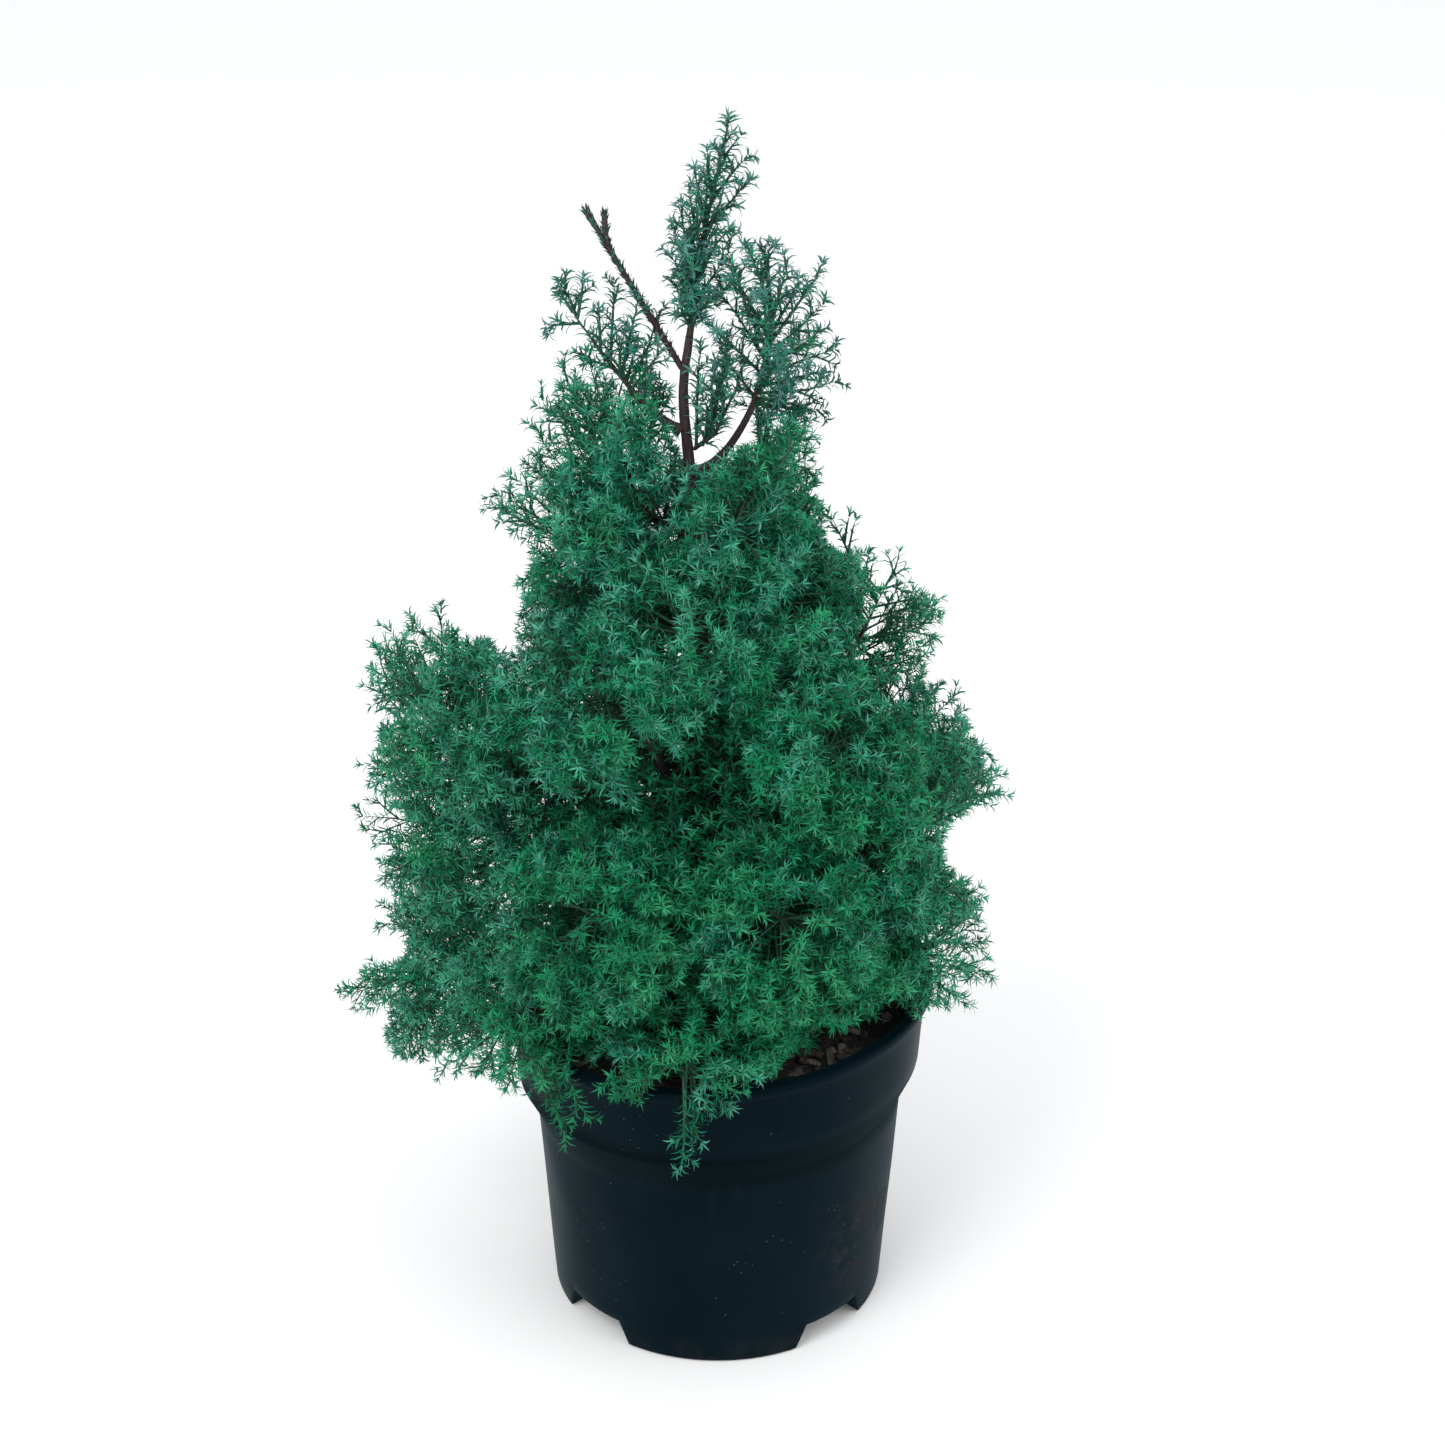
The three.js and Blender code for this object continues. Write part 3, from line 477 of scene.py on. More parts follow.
def joined_mesh(name, points, faces, materials, dealt):
    """One object from arrays in millimetres, its faces dealt to the materials by number."""
    mesh = bpy.data.meshes.new(name)
    corners = faces.shape[1]
    mesh.vertices.add(len(points))
    mesh.vertices.foreach_set("co", np.ascontiguousarray(points * MM, np.float32).ravel())
    mesh.loops.add(faces.size)
    mesh.loops.foreach_set("vertex_index", np.ascontiguousarray(faces, np.int32).ravel())
    mesh.polygons.add(len(faces))
    mesh.polygons.foreach_set("loop_start", np.arange(0, faces.size, corners, dtype=np.int32))
    for material in materials:
        mesh.materials.append(material)
    mesh.polygons.foreach_set("material_index", np.ascontiguousarray(dealt, np.int32))
    mesh.update(calc_edges=True)
    mesh.validate()
    return placed(name, mesh)


def turn_matrices(spin, tilt, lean):
    """Rotations about Z by spin, after tilts about X and Y, for many chips at once."""
    cs, ss, ct, st, cl, sl = (f(a) for a in (spin, tilt, lean) for f in (np.cos, np.sin))
    one, zero = np.ones_like(spin), np.zeros_like(spin)
    about_z = np.array([[cs, -ss, zero], [ss, cs, zero], [zero, zero, one]])
    about_x = np.array([[one, zero, zero], [zero, ct, -st], [zero, st, ct]])
    about_y = np.array([[cl, zero, sl], [zero, one, zero], [-sl, zero, cl]])
    return np.einsum("ijn,jkn,kln->nil", about_z, about_x, about_y)


def chip_bark(name, dark, pale):
    material, n, shader = new_material(name, 0.85, 0.3)
    along = n.stretched((900.0, 260.0, 260.0))
    base, fibre = mottled(n, along, (1.0, 4.0, 0.6), (0.35, 0.65), colour(*dark), colour(*pale))
    patch = n.fractal(n.place(), 90.0, 3.0)
    aged = n.mix(n.ramp(patch, 0.45, 0.7, 0.0, 0.6), base, colour(38, 34, 32))
    wire(n, shader, aged, None, (fibre, 0.5, 0.0008))
    return material


def scattered_chips():
    draw = np.random.default_rng(41)
    kinds = [chip_shape(*kind[:4]) for kind in CHIP_KINDS]
    points, faces, dealt, first = [], [], [], 0
    radius = CHIPS_WITHIN * np.sqrt(draw.uniform(0.02, 1, CHIP_COUNT))
    angle = draw.uniform(0, 2 * np.pi, CHIP_COUNT)
    turns = turn_matrices(draw.uniform(0, 6.28, CHIP_COUNT), draw.normal(0, 0.22, CHIP_COUNT),
                          draw.normal(0, 0.2, CHIP_COUNT))
    kind_of = draw.choice(len(kinds), CHIP_COUNT, p=[kind[4] for kind in CHIP_KINDS])
    size = draw.uniform(0.75, 1.15, CHIP_COUNT)
    for k in range(CHIP_COUNT):
        shape, tris = kinds[kind_of[k]]
        reach = max(np.abs(shape[:, 0]).max(), np.abs(shape[:, 1]).max()) * size[k]
        out = min(radius[k], 119.5 - reach)
        x, y = out * math.cos(angle[k]), out * math.sin(angle[k])
        if math.hypot(x, y) < 18:
            continue
        ground = SOIL_TOP + float(soil_swell(x, y)) + crumbs((x, y, SOIL_TOP)) + 0.9
        points.append(shape * size[k] @ turns[k].T + (x, y, ground))
        faces.append(tris + first)
        dealt.append(np.full(len(tris), draw.choice(3, p=[0.5, 0.3, 0.2])))
        first += len(shape)
    finishes = [chip_bark("chip_dark", (38, 35, 34), (62, 56, 54)),
                chip_bark("chip_brown", (58, 50, 47), (88, 78, 73)),
                chip_bark("chip_pale", (84, 77, 72), (128, 119, 112))]
    return joined_mesh("bark_chips", np.concatenate(points), np.concatenate(faces), finishes,
                       np.concatenate(dealt))


potting_mix = settled_soil()
potting_mix.data.materials.append(dark_soil())
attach(potting_mix, "root")
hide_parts("soil")
bark_chips = scattered_chips()
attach(bark_chips, "root")

# Trunk: one slim stem of purplish brown wood that leans a little to the left, swells in three
# lobes where its roots start, and tapers to the leading shoot. Its bark is thin and stringy.
TRUNK_FOOT_RADIUS = 8.5
TRUNK_TIP_RADIUS = 2.2
ROOT_FLARE = 4.5
ROOT_FLARE_HEIGHT = 13.0
ROOT_LOBES = 0.35
TRUNK_CORNERS = 8
TRUNK_COURSE = np.array([
    [0, 0, POT_HEIGHT - SOIL_DROP], [-3, 0, 300], [-10, 0, 430], [-15, 0, 534], [-18.5, 0, 583],
    [-15, 0, 614]], float)
TRUNK_FOOT = TRUNK_COURSE[0][2]
TRUNK_TOP = TRUNK_COURSE[-1][2]


def trunk_point(share):
    """The same centripetal Catmull-Rom course as the solid trunk's."""
    points = TRUNK_COURSE
    last = len(points) - 1
    at = min(max(share, 0.0), 1.0) * last
    first = min(int(at), last - 1)
    weight = at - first
    p1, p2 = points[first], points[first + 1]
    p0 = points[first - 1] if first > 0 else 2 * points[0] - points[1]
    p3 = points[first + 2] if first + 2 <= last else 2 * points[last] - points[last - 1]
    d0, d1, d2 = (np.linalg.norm(b - a) ** 0.5 for a, b in ((p0, p1), (p1, p2), (p2, p3)))
    t1 = ((p1 - p0) / d0 - (p2 - p0) / (d0 + d1) + (p2 - p1) / d1) * d1
    t2 = ((p2 - p1) / d1 - (p3 - p1) / (d1 + d2) + (p3 - p2) / d2) * d1
    cubic = (2 * p1 - 2 * p2 + t1 + t2, -3 * p1 + 3 * p2 - 2 * t1 - t2, t1, p1)
    return ((cubic[0] * weight + cubic[1]) * weight + cubic[2]) * weight + cubic[3]


def unit(vector):
    return vector / np.linalg.norm(vector)


def trunk_heading(share):
    low, high = max(share - 1e-4, 0), min(share + 1e-4, 1)
    return unit(trunk_point(high) - trunk_point(low))


def trunk_share_at(height):
    low, high = 0.0, 1.0
    for _ in range(20):
        middle = (low + high) / 2
        if trunk_point(middle)[2] < height:
            low = middle
        else:
            high = middle
    return low


def trunk_radius_at(height):
    up = max((height - TRUNK_FOOT) / (TRUNK_TOP - TRUNK_FOOT), 0.0)
    return TRUNK_FOOT_RADIUS + (TRUNK_TIP_RADIUS - TRUNK_FOOT_RADIUS) * up ** 0.85


def flare_at(height, azimuth):
    swell = ROOT_FLARE * math.exp((TRUNK_FOOT - height) / ROOT_FLARE_HEIGHT)
    return swell * (1 + ROOT_LOBES * math.cos(3 * math.radians(azimuth) - 0.6))


def bar(name, sides, rings):
    """A round bar one unit long, cut into rings, for a limb to be bent from."""
    deselect_all()
    bpy.ops.mesh.primitive_cylinder_add(vertices=sides, radius=1, depth=1, end_fill_type="NGON")
    piece = bpy.context.object
    piece.name = name
    mesh = piece.data
    bpy.ops.object.mode_set(mode="EDIT")
    bpy.ops.mesh.select_mode(type="EDGE")
    bpy.ops.mesh.select_all(action="DESELECT")
    bpy.ops.object.mode_set(mode="OBJECT")
    for edge in mesh.edges:
        a, b = (mesh.vertices[i].co.z for i in edge.vertices)
        edge.select = abs(a - b) > 0.5
    bpy.ops.object.mode_set(mode="EDIT")
    bpy.ops.mesh.subdivide(number_cuts=rings - 1)
    bpy.ops.mesh.select_mode(type="VERT")
    bpy.ops.object.mode_set(mode="OBJECT")
    return piece


def stringy(spin, along, radius, seed):
    """Relief of thin stringy bark: narrow ridges that run along the wood and wander round it."""
    x, y = math.cos(spin), math.sin(spin)
    wander = noise.noise(Vector((x * 1.5, y * 1.5, along * 0.03 + seed)))
    ridge = noise.noise(Vector((x * 4 + wander, y * 4 + wander, along * 0.055 + seed)))
    fine = noise.noise(Vector((x * 9, y * 9, along * 0.16 + seed)))
    return radius * (0.11 * ridge + 0.05 * fine)


def bent_limb(name, sides, rings, point_at, heading_at, radius_at, aside, seed, crowd=1.0):
    """A limb bent along its course from a bar, with the bark's relief in its mesh."""
    piece = bar(name, sides, rings)
    length = sum(np.linalg.norm(point_at((k + 1) / 30) - point_at(k / 30)) for k in range(30))

    def bend(points):
        made = []
        for x, y, z in points * MM:
            share = min(max(z + 0.5, 0.0), 1.0) ** crowd
            along = heading_at(share)
            normal = unit(aside - along * (aside @ along))
            binormal = np.cross(along, normal)
            spin = math.atan2(y, x)
            radius = radius_at(share, spin) * math.hypot(x, y)
            radius += stringy(spin, share * length, radius, seed) * min(1, math.hypot(x, y))
            away = normal * math.cos(spin) + binormal * math.sin(spin)
            made.append(point_at(share) + away * radius)
        return np.array(made)

    moved_points(piece, bend)
    pick(piece)
    bpy.ops.object.mode_set(mode="EDIT")
    bpy.ops.mesh.select_all(action="SELECT")
    bpy.ops.mesh.normals_make_consistent(inside=False)
    bpy.ops.object.mode_set(mode="OBJECT")
    bpy.ops.object.shade_smooth_by_angle(angle=math.radians(50))
    return piece


def brown_bark():
    """Thin bark that peels in strings along the wood, with redder patches."""
    material, n, shader = new_material("bark_brown", 0.82, 0.35)
    wood, ridges = mottled(
        n, n.stretched((1500.0, 1500.0, 190.0)), (1.0, 5.0, 0.6), (0.34, 0.66), colour(36, 27, 33),
        colour(78, 62, 68))
    patches = n.ramp(n.fractal(n.stretched((140.0, 140.0, 60.0)), 1.0, 3.0), 0.45, 0.68, 0.0, 0.7)
    base = n.mix(patches, wood, colour(60, 42, 40))
    wire(n, shader, base, n.ramp(ridges, 0.3, 0.7, 0.9, 0.7), (ridges, 0.6, 0.0008))
    return material


def trunk_piece():
    def radius_at(share, spin):
        height = trunk_point(share)[2]
        return trunk_radius_at(height) + flare_at(height, math.degrees(spin))

    piece = bent_limb("trunk_bark", 36, 150, trunk_point, trunk_heading, radius_at,
                      np.array([1.0, 0.0, 0.0]), 3.7, 1.5)

    def cut_at_soil(points):
        points[:, 2] = np.maximum(points[:, 2], TRUNK_FOOT - 3)
        return points

    moved_points(piece, cut_at_soil)
    return piece


bark_brown = brown_bark()
trunk = trunk_piece()
trunk.data.materials.append(bark_brown)
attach(trunk, "root")
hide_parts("trunk")

# Boughs: slim brown limbs that leave the trunk in tiers, each from a swollen collar grown into the
# trunk's bark, arch outwards and taper to where the green shoots take over.
STEM_RADIUS = 2.3
BOUGH_RADIUS = 3.6
BOUGH_TIP_RADIUS = 2.6
BOUGH_CLIMB = 20.0
STAGGER = 10.0
BOUGH_BEND = 0.5
BOUGH_COLLAR = 1.5
BOUGH_COLLAR_RUN = 3.5
TOP_BOUGH_RADIUS = 2.6
TOP_BOUGH_TIP_RADIUS = 1.8
# Kinds of mass: share of the reach that is stem, reach of the side shoots, whether it is open to
# the light, and for those that aren't set one by one the fronds and how they stand on the stem
KINDS = {
    "dense": dict(stem=0.6, width=25, open=False, fronds=52, twigs=5, spray=84, bare=0.46,
                  dwindle=0.1),
    "fan": dict(stem=0.74, width=15, open=True, fronds=24, twigs=9, spray=62, bare=0.2,
                dwindle=0.35),
    "slim": dict(stem=0.78, width=9, open=True),
    "wisp": dict(stem=0.6, width=7, open=True),
}
# Tiers: azimuth of the first bough, height of its foot, its end as a share of the reach and a
# height, girth of its mass, the masses' tips as reach and height, and what is odd about some
TIERS = [
    dict(name="skirt", first=-98, foot=214, join=0.42, rise=232, girth=62,
         tips=[(147, 170), (152, 232), (164, 226), (166, 224), (164, 226), (174, 222), (228, 194),
               (190, 208)],
         odd={0: dict(knuckle=(136, 226)), 6: dict(join=0.5, rise=226, turn=7, girth=57),
              7: dict(turn=-5, knuckle=(146, 224), girth=58)}),
    dict(name="low", first=-72, foot=258, join=0.4, rise=296, girth=66,
         tips=[(160, 296), (168, 380), (172, 360), (164, 318), (172, 326), (210, 330), (176, 290)],
         odd={5: dict(girth=61)}),
    dict(name="middle", first=-50, foot=322, join=0.4, rise=368, girth=64,
         tips=[(136, 406), (107, 484), (132, 428), (142, 428), (186, 456), (146, 444)],
         odd={1: dict(kind="fan", join=0.62, rise=396, girth=48),
              4: dict(join=0.56, rise=350, girth=66), 5: dict(turn=-22, rise=392)}),
    dict(name="shoulder", first=-99, foot=436, join=0, rise=0, girth=60,
         tips=[(92, 492), (86, 500), (92, 506), (104, 514), (126, 524)], odd={4: dict(foot=472)}),
    dict(name="top", first=-60, foot=498, join=0, rise=0, girth=52,
         tips=[(62, 544), (66, 556), (82, 598)],
         odd={0: dict(girth=46), 1: dict(turn=-22), 2: dict(girth=54)}),
]


def outward(azimuth, climb=0.0):
    turn, lift = math.radians(azimuth), math.radians(climb)
    level = math.cos(lift)
    return np.array([level * math.cos(turn), level * math.sin(turn), math.sin(lift)])


def side_of(azimuth):
    return outward(azimuth + 90)


def place_at(azimuth, reach, height):
    return outward(azimuth) * reach + (0, 0, height)


def bark_at(height, azimuth):
    side = 360 / TRUNK_CORNERS
    off_corner = math.radians(azimuth - side * round(azimuth / side))
    return (trunk_radius_at(height) + flare_at(height, azimuth)) * math.cos(off_corner)


def trunk_seat(height, azimuth, radius, climb):
    rise = radius * math.cos(math.radians(climb))
    lean = radius * math.sin(math.radians(climb))
    above, below = bark_at(height + rise, azimuth), bark_at(height - rise, azimuth)
    clear = GAP + max(above + lean, below - lean)
    return trunk_point(trunk_share_at(height)) + outward(azimuth) * clear


def arc_point(arc, share):
    p0, p1, p2 = arc
    return p0 * (1 - share) ** 2 + p1 * (2 * share * (1 - share)) + p2 * share ** 2


def arc_heading(arc, share):
    p0, p1, p2 = arc
    return unit((p1 - p0) * (1 - share) + (p2 - p1) * share)


def bough_plan(name, azimuth, foot, end, climb):
    seat = trunk_seat(foot, azimuth, BOUGH_RADIUS, climb)
    run = BOUGH_BEND * math.hypot(end[0] - seat[0], end[1] - seat[1])
    bend = seat + outward(azimuth) * run + (0, 0, run * math.tan(math.radians(climb)))
    return dict(name=name, arc=(seat, bend, end), azimuth=azimuth)


def mass_plan(name, seed, kind, azimuth, girth, start, heading, tip, knuckle=None):
    run = np.linalg.norm(tip - start)
    bend = start + heading * run * 0.45
    arch = (start, bend, tip)
    stem = KINDS[kind]["stem"]
    end = arc_point(arch, stem) if knuckle is None else knuckle
    centre = ((start + (tip - start) * 0.52) + arc_point(arch, 0.5)) / 2
    return dict(name=name, seed=seed, kind=kind, azimuth=azimuth, girth=girth, tip=tip, start=start,
                arc=(start, start + (bend - start) * stem, end), centre=centre, half=run * 0.62)


def next_to(bough):
    heading = arc_heading(bough["arc"], 1)
    return bough["arc"][2] + heading * GAP, heading


def tier_plans(number, tier):
    boughs, masses = [], []
    count = len(tier["tips"])
    for i, (reach, height) in enumerate(tier["tips"]):
        own = {"kind": "dense", "turn": 0, **tier, **tier["odd"].get(i, {})}
        azimuth = own["first"] + 360 / count * i + own["turn"]
        foot = own["foot"] + STAGGER * (i % 2)
        start = trunk_seat(foot, azimuth, STEM_RADIUS, BOUGH_CLIMB)
        heading = outward(azimuth, BOUGH_CLIMB)
        if own["join"]:
            end = place_at(azimuth, reach * own["join"], own["rise"])
            name = f"{tier['name']}_bough_{i + 1}"
            boughs.append(bough_plan(name, azimuth, foot, end, BOUGH_CLIMB))
            start, heading = next_to(boughs[-1])
        knuckle = place_at(azimuth, *own["knuckle"]) if "knuckle" in own else None
        masses.append(mass_plan(
            f"{tier['name']}_foliage_{i + 1}", 100 * (number + 1) + i, own["kind"], azimuth,
            own["girth"], start, heading, place_at(azimuth, reach, height), knuckle))
    return boughs, masses


def top_plans():
    right = bough_plan("right_bough", 0, 536, np.array([19.0, 2, 572]), 12)
    left = bough_plan("left_bough", 172, 560, np.array([-43.0, -3, 580]), 30)
    ahead = trunk_heading(1)
    masses = [
        mass_plan("leader_foliage", 901, "slim", -25, 44, trunk_point(1) + ahead * GAP, ahead,
                  np.array([7.0, 0, 737])),
        mass_plan("right_foliage", 902, "fan", 12, 62, *next_to(right), np.array([24.0, 0, 668])),
        mass_plan("left_foliage", 903, "slim", 160, 38, *next_to(left), np.array([-88.0, -4, 646])),
        mass_plan("centre_foliage", 904, "wisp", -30, 26,
                  trunk_seat(550, -30, STEM_RADIUS, BOUGH_CLIMB), outward(-30, BOUGH_CLIMB),
                  np.array([3.0, -12, 606])),
    ]
    return [right, left], masses


boughs, masses = [], []
for found in [*(tier_plans(k, tier) for k, tier in enumerate(TIERS)), top_plans()]:
    boughs += found[0]
    masses += found[1]


def arc_limb(name, sides, rings, arc, radius_at, azimuth, seed):
    return bent_limb(name, sides, rings, lambda share: arc_point(arc, share),
                     lambda share: arc_heading(arc, share), radius_at, side_of(azimuth), seed)


def collared(thick, thin, length):
    """A taper that swells to a collar over the first few millimetres."""
    def radius_at(share, _spin):
        swell = BOUGH_COLLAR * math.exp(-share * length / BOUGH_COLLAR_RUN)
        return thick + (thin - thick) * share + swell
    return radius_at


def bough_piece(plan, number):
    seat, bend, end = plan["arc"]
    arc = (seat - outward(plan["azimuth"]) * 2.5, bend, end + arc_heading(plan["arc"], 1) * 1.0)
    length = np.linalg.norm(end - seat)
    rings = max(14, int(length / 2.6))
    radii = (BOUGH_RADIUS, BOUGH_TIP_RADIUS)
    if "_bough_" not in plan["name"]:
        radii = (TOP_BOUGH_RADIUS, TOP_BOUGH_TIP_RADIUS)
    return arc_limb(plan["name"] + "_bark", 14, rings, arc, collared(*radii, length),
                    plan["azimuth"], number * 1.7)


def joined(name, pieces):
    pick(pieces[0])
    for piece in pieces:
        piece.select_set(True)
    bpy.ops.object.join()
    bpy.context.object.name = name
    return bpy.context.object


bough_wood = joined("bough_bark", [bough_piece(plan, k) for k, plan in enumerate(boughs)])
bough_wood.data.materials.append(bark_brown)
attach(bough_wood, "root")
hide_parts(*[plan["name"] for plan in boughs])

# Bare shoot: a lean young shoot just below the tip, with no side shoots, clothed in pressed brown
# scales and forked near its end.
SHOOT_RADIUS = 1.9


def bare_shoot_piece():
    seat = trunk_seat(596, 180, SHOOT_RADIUS, 50) + (2.5, 0, 0)
    main = (seat, np.array([-38.0, 0, 628]), np.array([-70.0, 0, 684]))
    fork = (arc_point(main, 0.74), np.array([-60.0, -1, 664]), np.array([-60.0, -2, 682]))

    def main_radius(share, _spin):
        return 1.75 - 0.45 * share + 0.5 * math.exp(-((share - 0.96) / 0.05) ** 2)

    def fork_radius(share, _spin):
        return 1.15 + 0.6 * math.exp(-((share - 0.85) / 0.2) ** 2)

    limbs = [arc_limb("bare_shoot_bark", 12, 46, main, main_radius, 180, 61.0),
             arc_limb("bare_shoot_fork", 12, 14, fork, fork_radius, 180, 62.0)]
    return joined("bare_shoot_bark", limbs), (main, fork)


bare_shoot, bare_arcs = bare_shoot_piece()
bare_shoot.data.materials.append(bark_brown)
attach(bare_shoot, "root")
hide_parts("bare_shoot")

# Foliage: every mass grows on from its bough by the rule of the solids. A stem carries twigs in
# turn, each twig a frond of side shoots, and each shoot crossed pairs of curved awl needles.
GOLDEN_TURN = 137.5
TWIG_FORK = 56.0
TWIG_FORK_PLAY = 16.0
TWIG_TURN_PLAY = 40.0
FAN_TURN_PLAY = 70.0
TWIG_LIFT = 0.12
LOWEST_TWIG = 0.12
HANGING = -0.6
CELL_PULL = 0.6
CELL_OVERLAP = 9.0
LIMB_MARGIN = 2.0
RIM_MARGIN = 3.0
ROOM_STEP = 3.0
SHORTEST_FROND = 0.3
NEEDLE_REACH = 5.0
SIDE_PITCH = 8.0
SIDE_SHARES = np.array([[1.0], [0.8], [0.6], [0.4]])
SIDE_FORK = (34, 52)
SHORTEST_SIDE = 5
FORKED_SIDE = 13
SHORTEST_END = 8
HANGING_WIDTH = 9
BOUGH_INSIDE = 22
STEM_INSIDE = 10
INSIDE_LENGTH = (36, 62)
INSIDE_REACH = 0.78
TRUNK_BEADS = 90
LIMB_BEADS = 16
# The needles' greens by number, in the order in which GREENS lists them below
DEEP, GREEN, BLUE, BRIGHT, PALE, GREY, FRESH, HAZY = range(8)
# The sprays that the photograph shows one by one: share of the stem that each leaves, x and z of
# its tip as seen in the plane of the trunk, how far behind that plane it lies, and the reach of its
# side shoots
SEEN_SPRAYS = {
    "leader_foliage": [
        (0.05, -21, 634, -16, 8), (0.1, -24, 647, 13, 8), (0.2, -25, 660, -12, 8),
        (0.3, -24, 674, 10, 8), (0.4, -20, 686, -10, 8), (0.52, -15, 697, 9, 7),
        (0.68, -12, 707, -6, 7), (0.84, -5, 718, 5, 6), (0.08, -3, 640, -20, 8),
        (0.2, 4, 657, 16, 8), (0.32, 7, 675, -12, 7), (0.06, -12, 636, 20, 8),
        (0.18, -15, 656, -4, 8), (0.3, -14, 673, 18, 8), (0.12, 11, 648, 8, 8),
        (0.14, -20, 651, 2, 7), (0.24, -19, 667, -17, 7), (0.34, -16, 681, 3, 7),
        (0.46, -11, 693, -13, 7), (0.6, -5, 705, 12, 6), (0.76, 2, 716, -8, 6),
        (0.38, 2, 682, 15, 7), (0.56, 4, 698, -12, 6), (0.66, 17, 701, 4, 7), (0.8, 17, 714, -4, 7),
        (0.93, 13, 725, 3, 5)],
    "right_foliage": [
        (0.3, -4, 622, -18, 10), (0.42, 0, 642, 14, 10), (0.5, 8, 655, -14, 10),
        (0.62, 5, 667, 10, 9), (0.75, 15, 666, -8, 9), (0.84, 28, 667, 6, 9),
        (0.72, 38, 654, -14, 10), (0.66, 44, 643, 16, 10), (0.58, 55, 650, -8, 10),
        (0.48, 59, 634, 18, 11), (0.4, 56, 618, -22, 11), (0.3, 65, 607, 10, 11),
        (0.2, 57, 594, -26, 11), (0.14, 67, 589, 2, 11), (0.04, 60, 572, 20, 11),
        (0.1, 2, 606, 16, 9), (0.36, 46, 612, 26, 10), (0.24, 42, 588, -12, 11),
        (0.5, 24, 650, 24, 9), (0.44, 26, 640, -26, 9), (0.16, 36, 606, -30, 10),
        (0.06, 36, 580, -8, 11), (0.1, 46, 574, 12, 11), (0.05, 28, 566, 8, 10)],
    "left_foliage": [
        (0.9, -93, 619, -6, 8), (0.94, -85, 645, 5, 8), (0.94, -72, 648, -4, 8),
        (0.45, -55, 646, 12, 9), (0.28, -42, 636, -12, 9), (0.16, -32, 628, 14, 9),
        (0.12, -30, 607, -16, 9), (0.4, -74, 604, 10, 8), (0.05, -34, 590, 18, 9),
        (0.3, -50, 618, -18, 9), (0.6, -64, 630, -14, 8), (0.2, -44, 612, 20, 9)],
    "centre_foliage": [
        (0.05, -9, 608, -8, 8), (0.3, 5, 616, -6, 9), (0.55, 14, 590, -10, 8),
        (0.2, 7, 602, -14, 9), (0.5, -2, 592, -18, 9)],
    "top_foliage_1": [(0.7, 38, 566, -20, 11), (0.8, 48, 560, -30, 11)],
    "top_foliage_3": [
        (0.6, -97, 580, -4, 11), (0.7, -86, 599, 4, 11), (0.8, -72, 607, -6, 10),
        (0.5, -101, 562, 6, 11), (0.5, -94, 572, 12, 12), (0.5, -80, 584, -14, 12),
        (0.4, -66, 574, 8, 11), (0.4, -72, 558, -22, 12), (0.4, -90, 556, -18, 12)],
    "shoulder_foliage_5": [
        (0.7, -124, 524, 3, 8), (0.8, -115, 535, -3, 10), (0.6, -120, 513, -4, 8)],
    "middle_foliage_5": [
        (0.8, -196, 430, -14, 10), (0.7, -199, 405, 8, 10), (0.9, -176, 442, -8, 10),
        (0.8, -186, 426, 8, 10)],
    "skirt_foliage_1": [
        (0.8, -16, 84, -140, 10), (0.75, -10, 108, -140, 10), (0.85, -20, 96, -139, 9)],
    "skirt_foliage_8": [
        (0.8, -95, 94, -122, 12), (0.7, -82, 108, -126, 12), (0.6, -98, 120, -112, 12),
        (0.3, -130, 263, -50, 14), (0.4, -143, 253, -40, 14), (0.25, -118, 260, -60, 13),
        (0.5, -158, 241, -44, 13), (0.4, -142, 237, -62, 13), (0.5, -139, 262, -50, 14),
        (0.45, -130, 252, -58, 14), (0.6, -137, 184, -90, 13), (0.4, -136, 270, -70, 14)],
    "skirt_foliage_7": [
        (0.3, -146, 270, 0, 14), (0.3, -134, 257, 12, 14), (0.4, -156, 282, -12, 14)],
    "low_foliage_1": [
        (0.1, 5, 340, -60, 13), (0.2, 18, 330, -74, 14), (0.15, -4, 320, -72, 13),
        (0.25, 13, 308, -84, 13), (0.05, 24, 348, -56, 13), (0.3, -4, 296, -96, 12),
        (0.05, -2, 372, -54, 13)],
    "low_foliage_6": [
        (0.5, -147, 289, -34, 14), (0.4, -134, 282, -52, 14), (0.1, -96, 322, -46, 14),
        (0.1, -84, 314, -56, 13)],
    "low_foliage_7": [
        (0.1, -39, 344, -62, 14), (0.2, -27, 330, -74, 14), (0.05, -14, 346, -56, 13),
        (0.15, -22, 314, -80, 13), (0.3, -14, 301, -92, 13)],
}
HAND_SET = ("leader_foliage", "right_foliage", "left_foliage", "centre_foliage")
HOLD = {"leader_foliage": 50, "right_foliage": 34}
# Gaps that the photograph shows between the sprays, kept open along its line of sight: x and z in
# the plane of the trunk, and radius
SEEN_GAPS = np.array([
    (-9, 552, 14), (10, 560, 12), (65, 546, 12), (74, 525, 19), (72, 500, 14), (-118, 484, 15),
    (-122, 460, 13), (126, 480, 20), (112, 500, 14), (158, 300, 26), (-212, 371, 17),
    (-198, 230, 12), (-214, 232, 10), (-138, 448, 15), (-151, 119, 22), (-133, 108, 20),
    (-173, 114, 14), (-212, 176, 10), (50, 145, 14), (71, 156, 16), (92, 168, 14),
    (108, 182, 12), (17, 102, 13)])
SEEN_FROM = np.array([3.0, -1443.0, 1072.3])
THINNED = {"top": 0.6, "shoulder": 0.88}


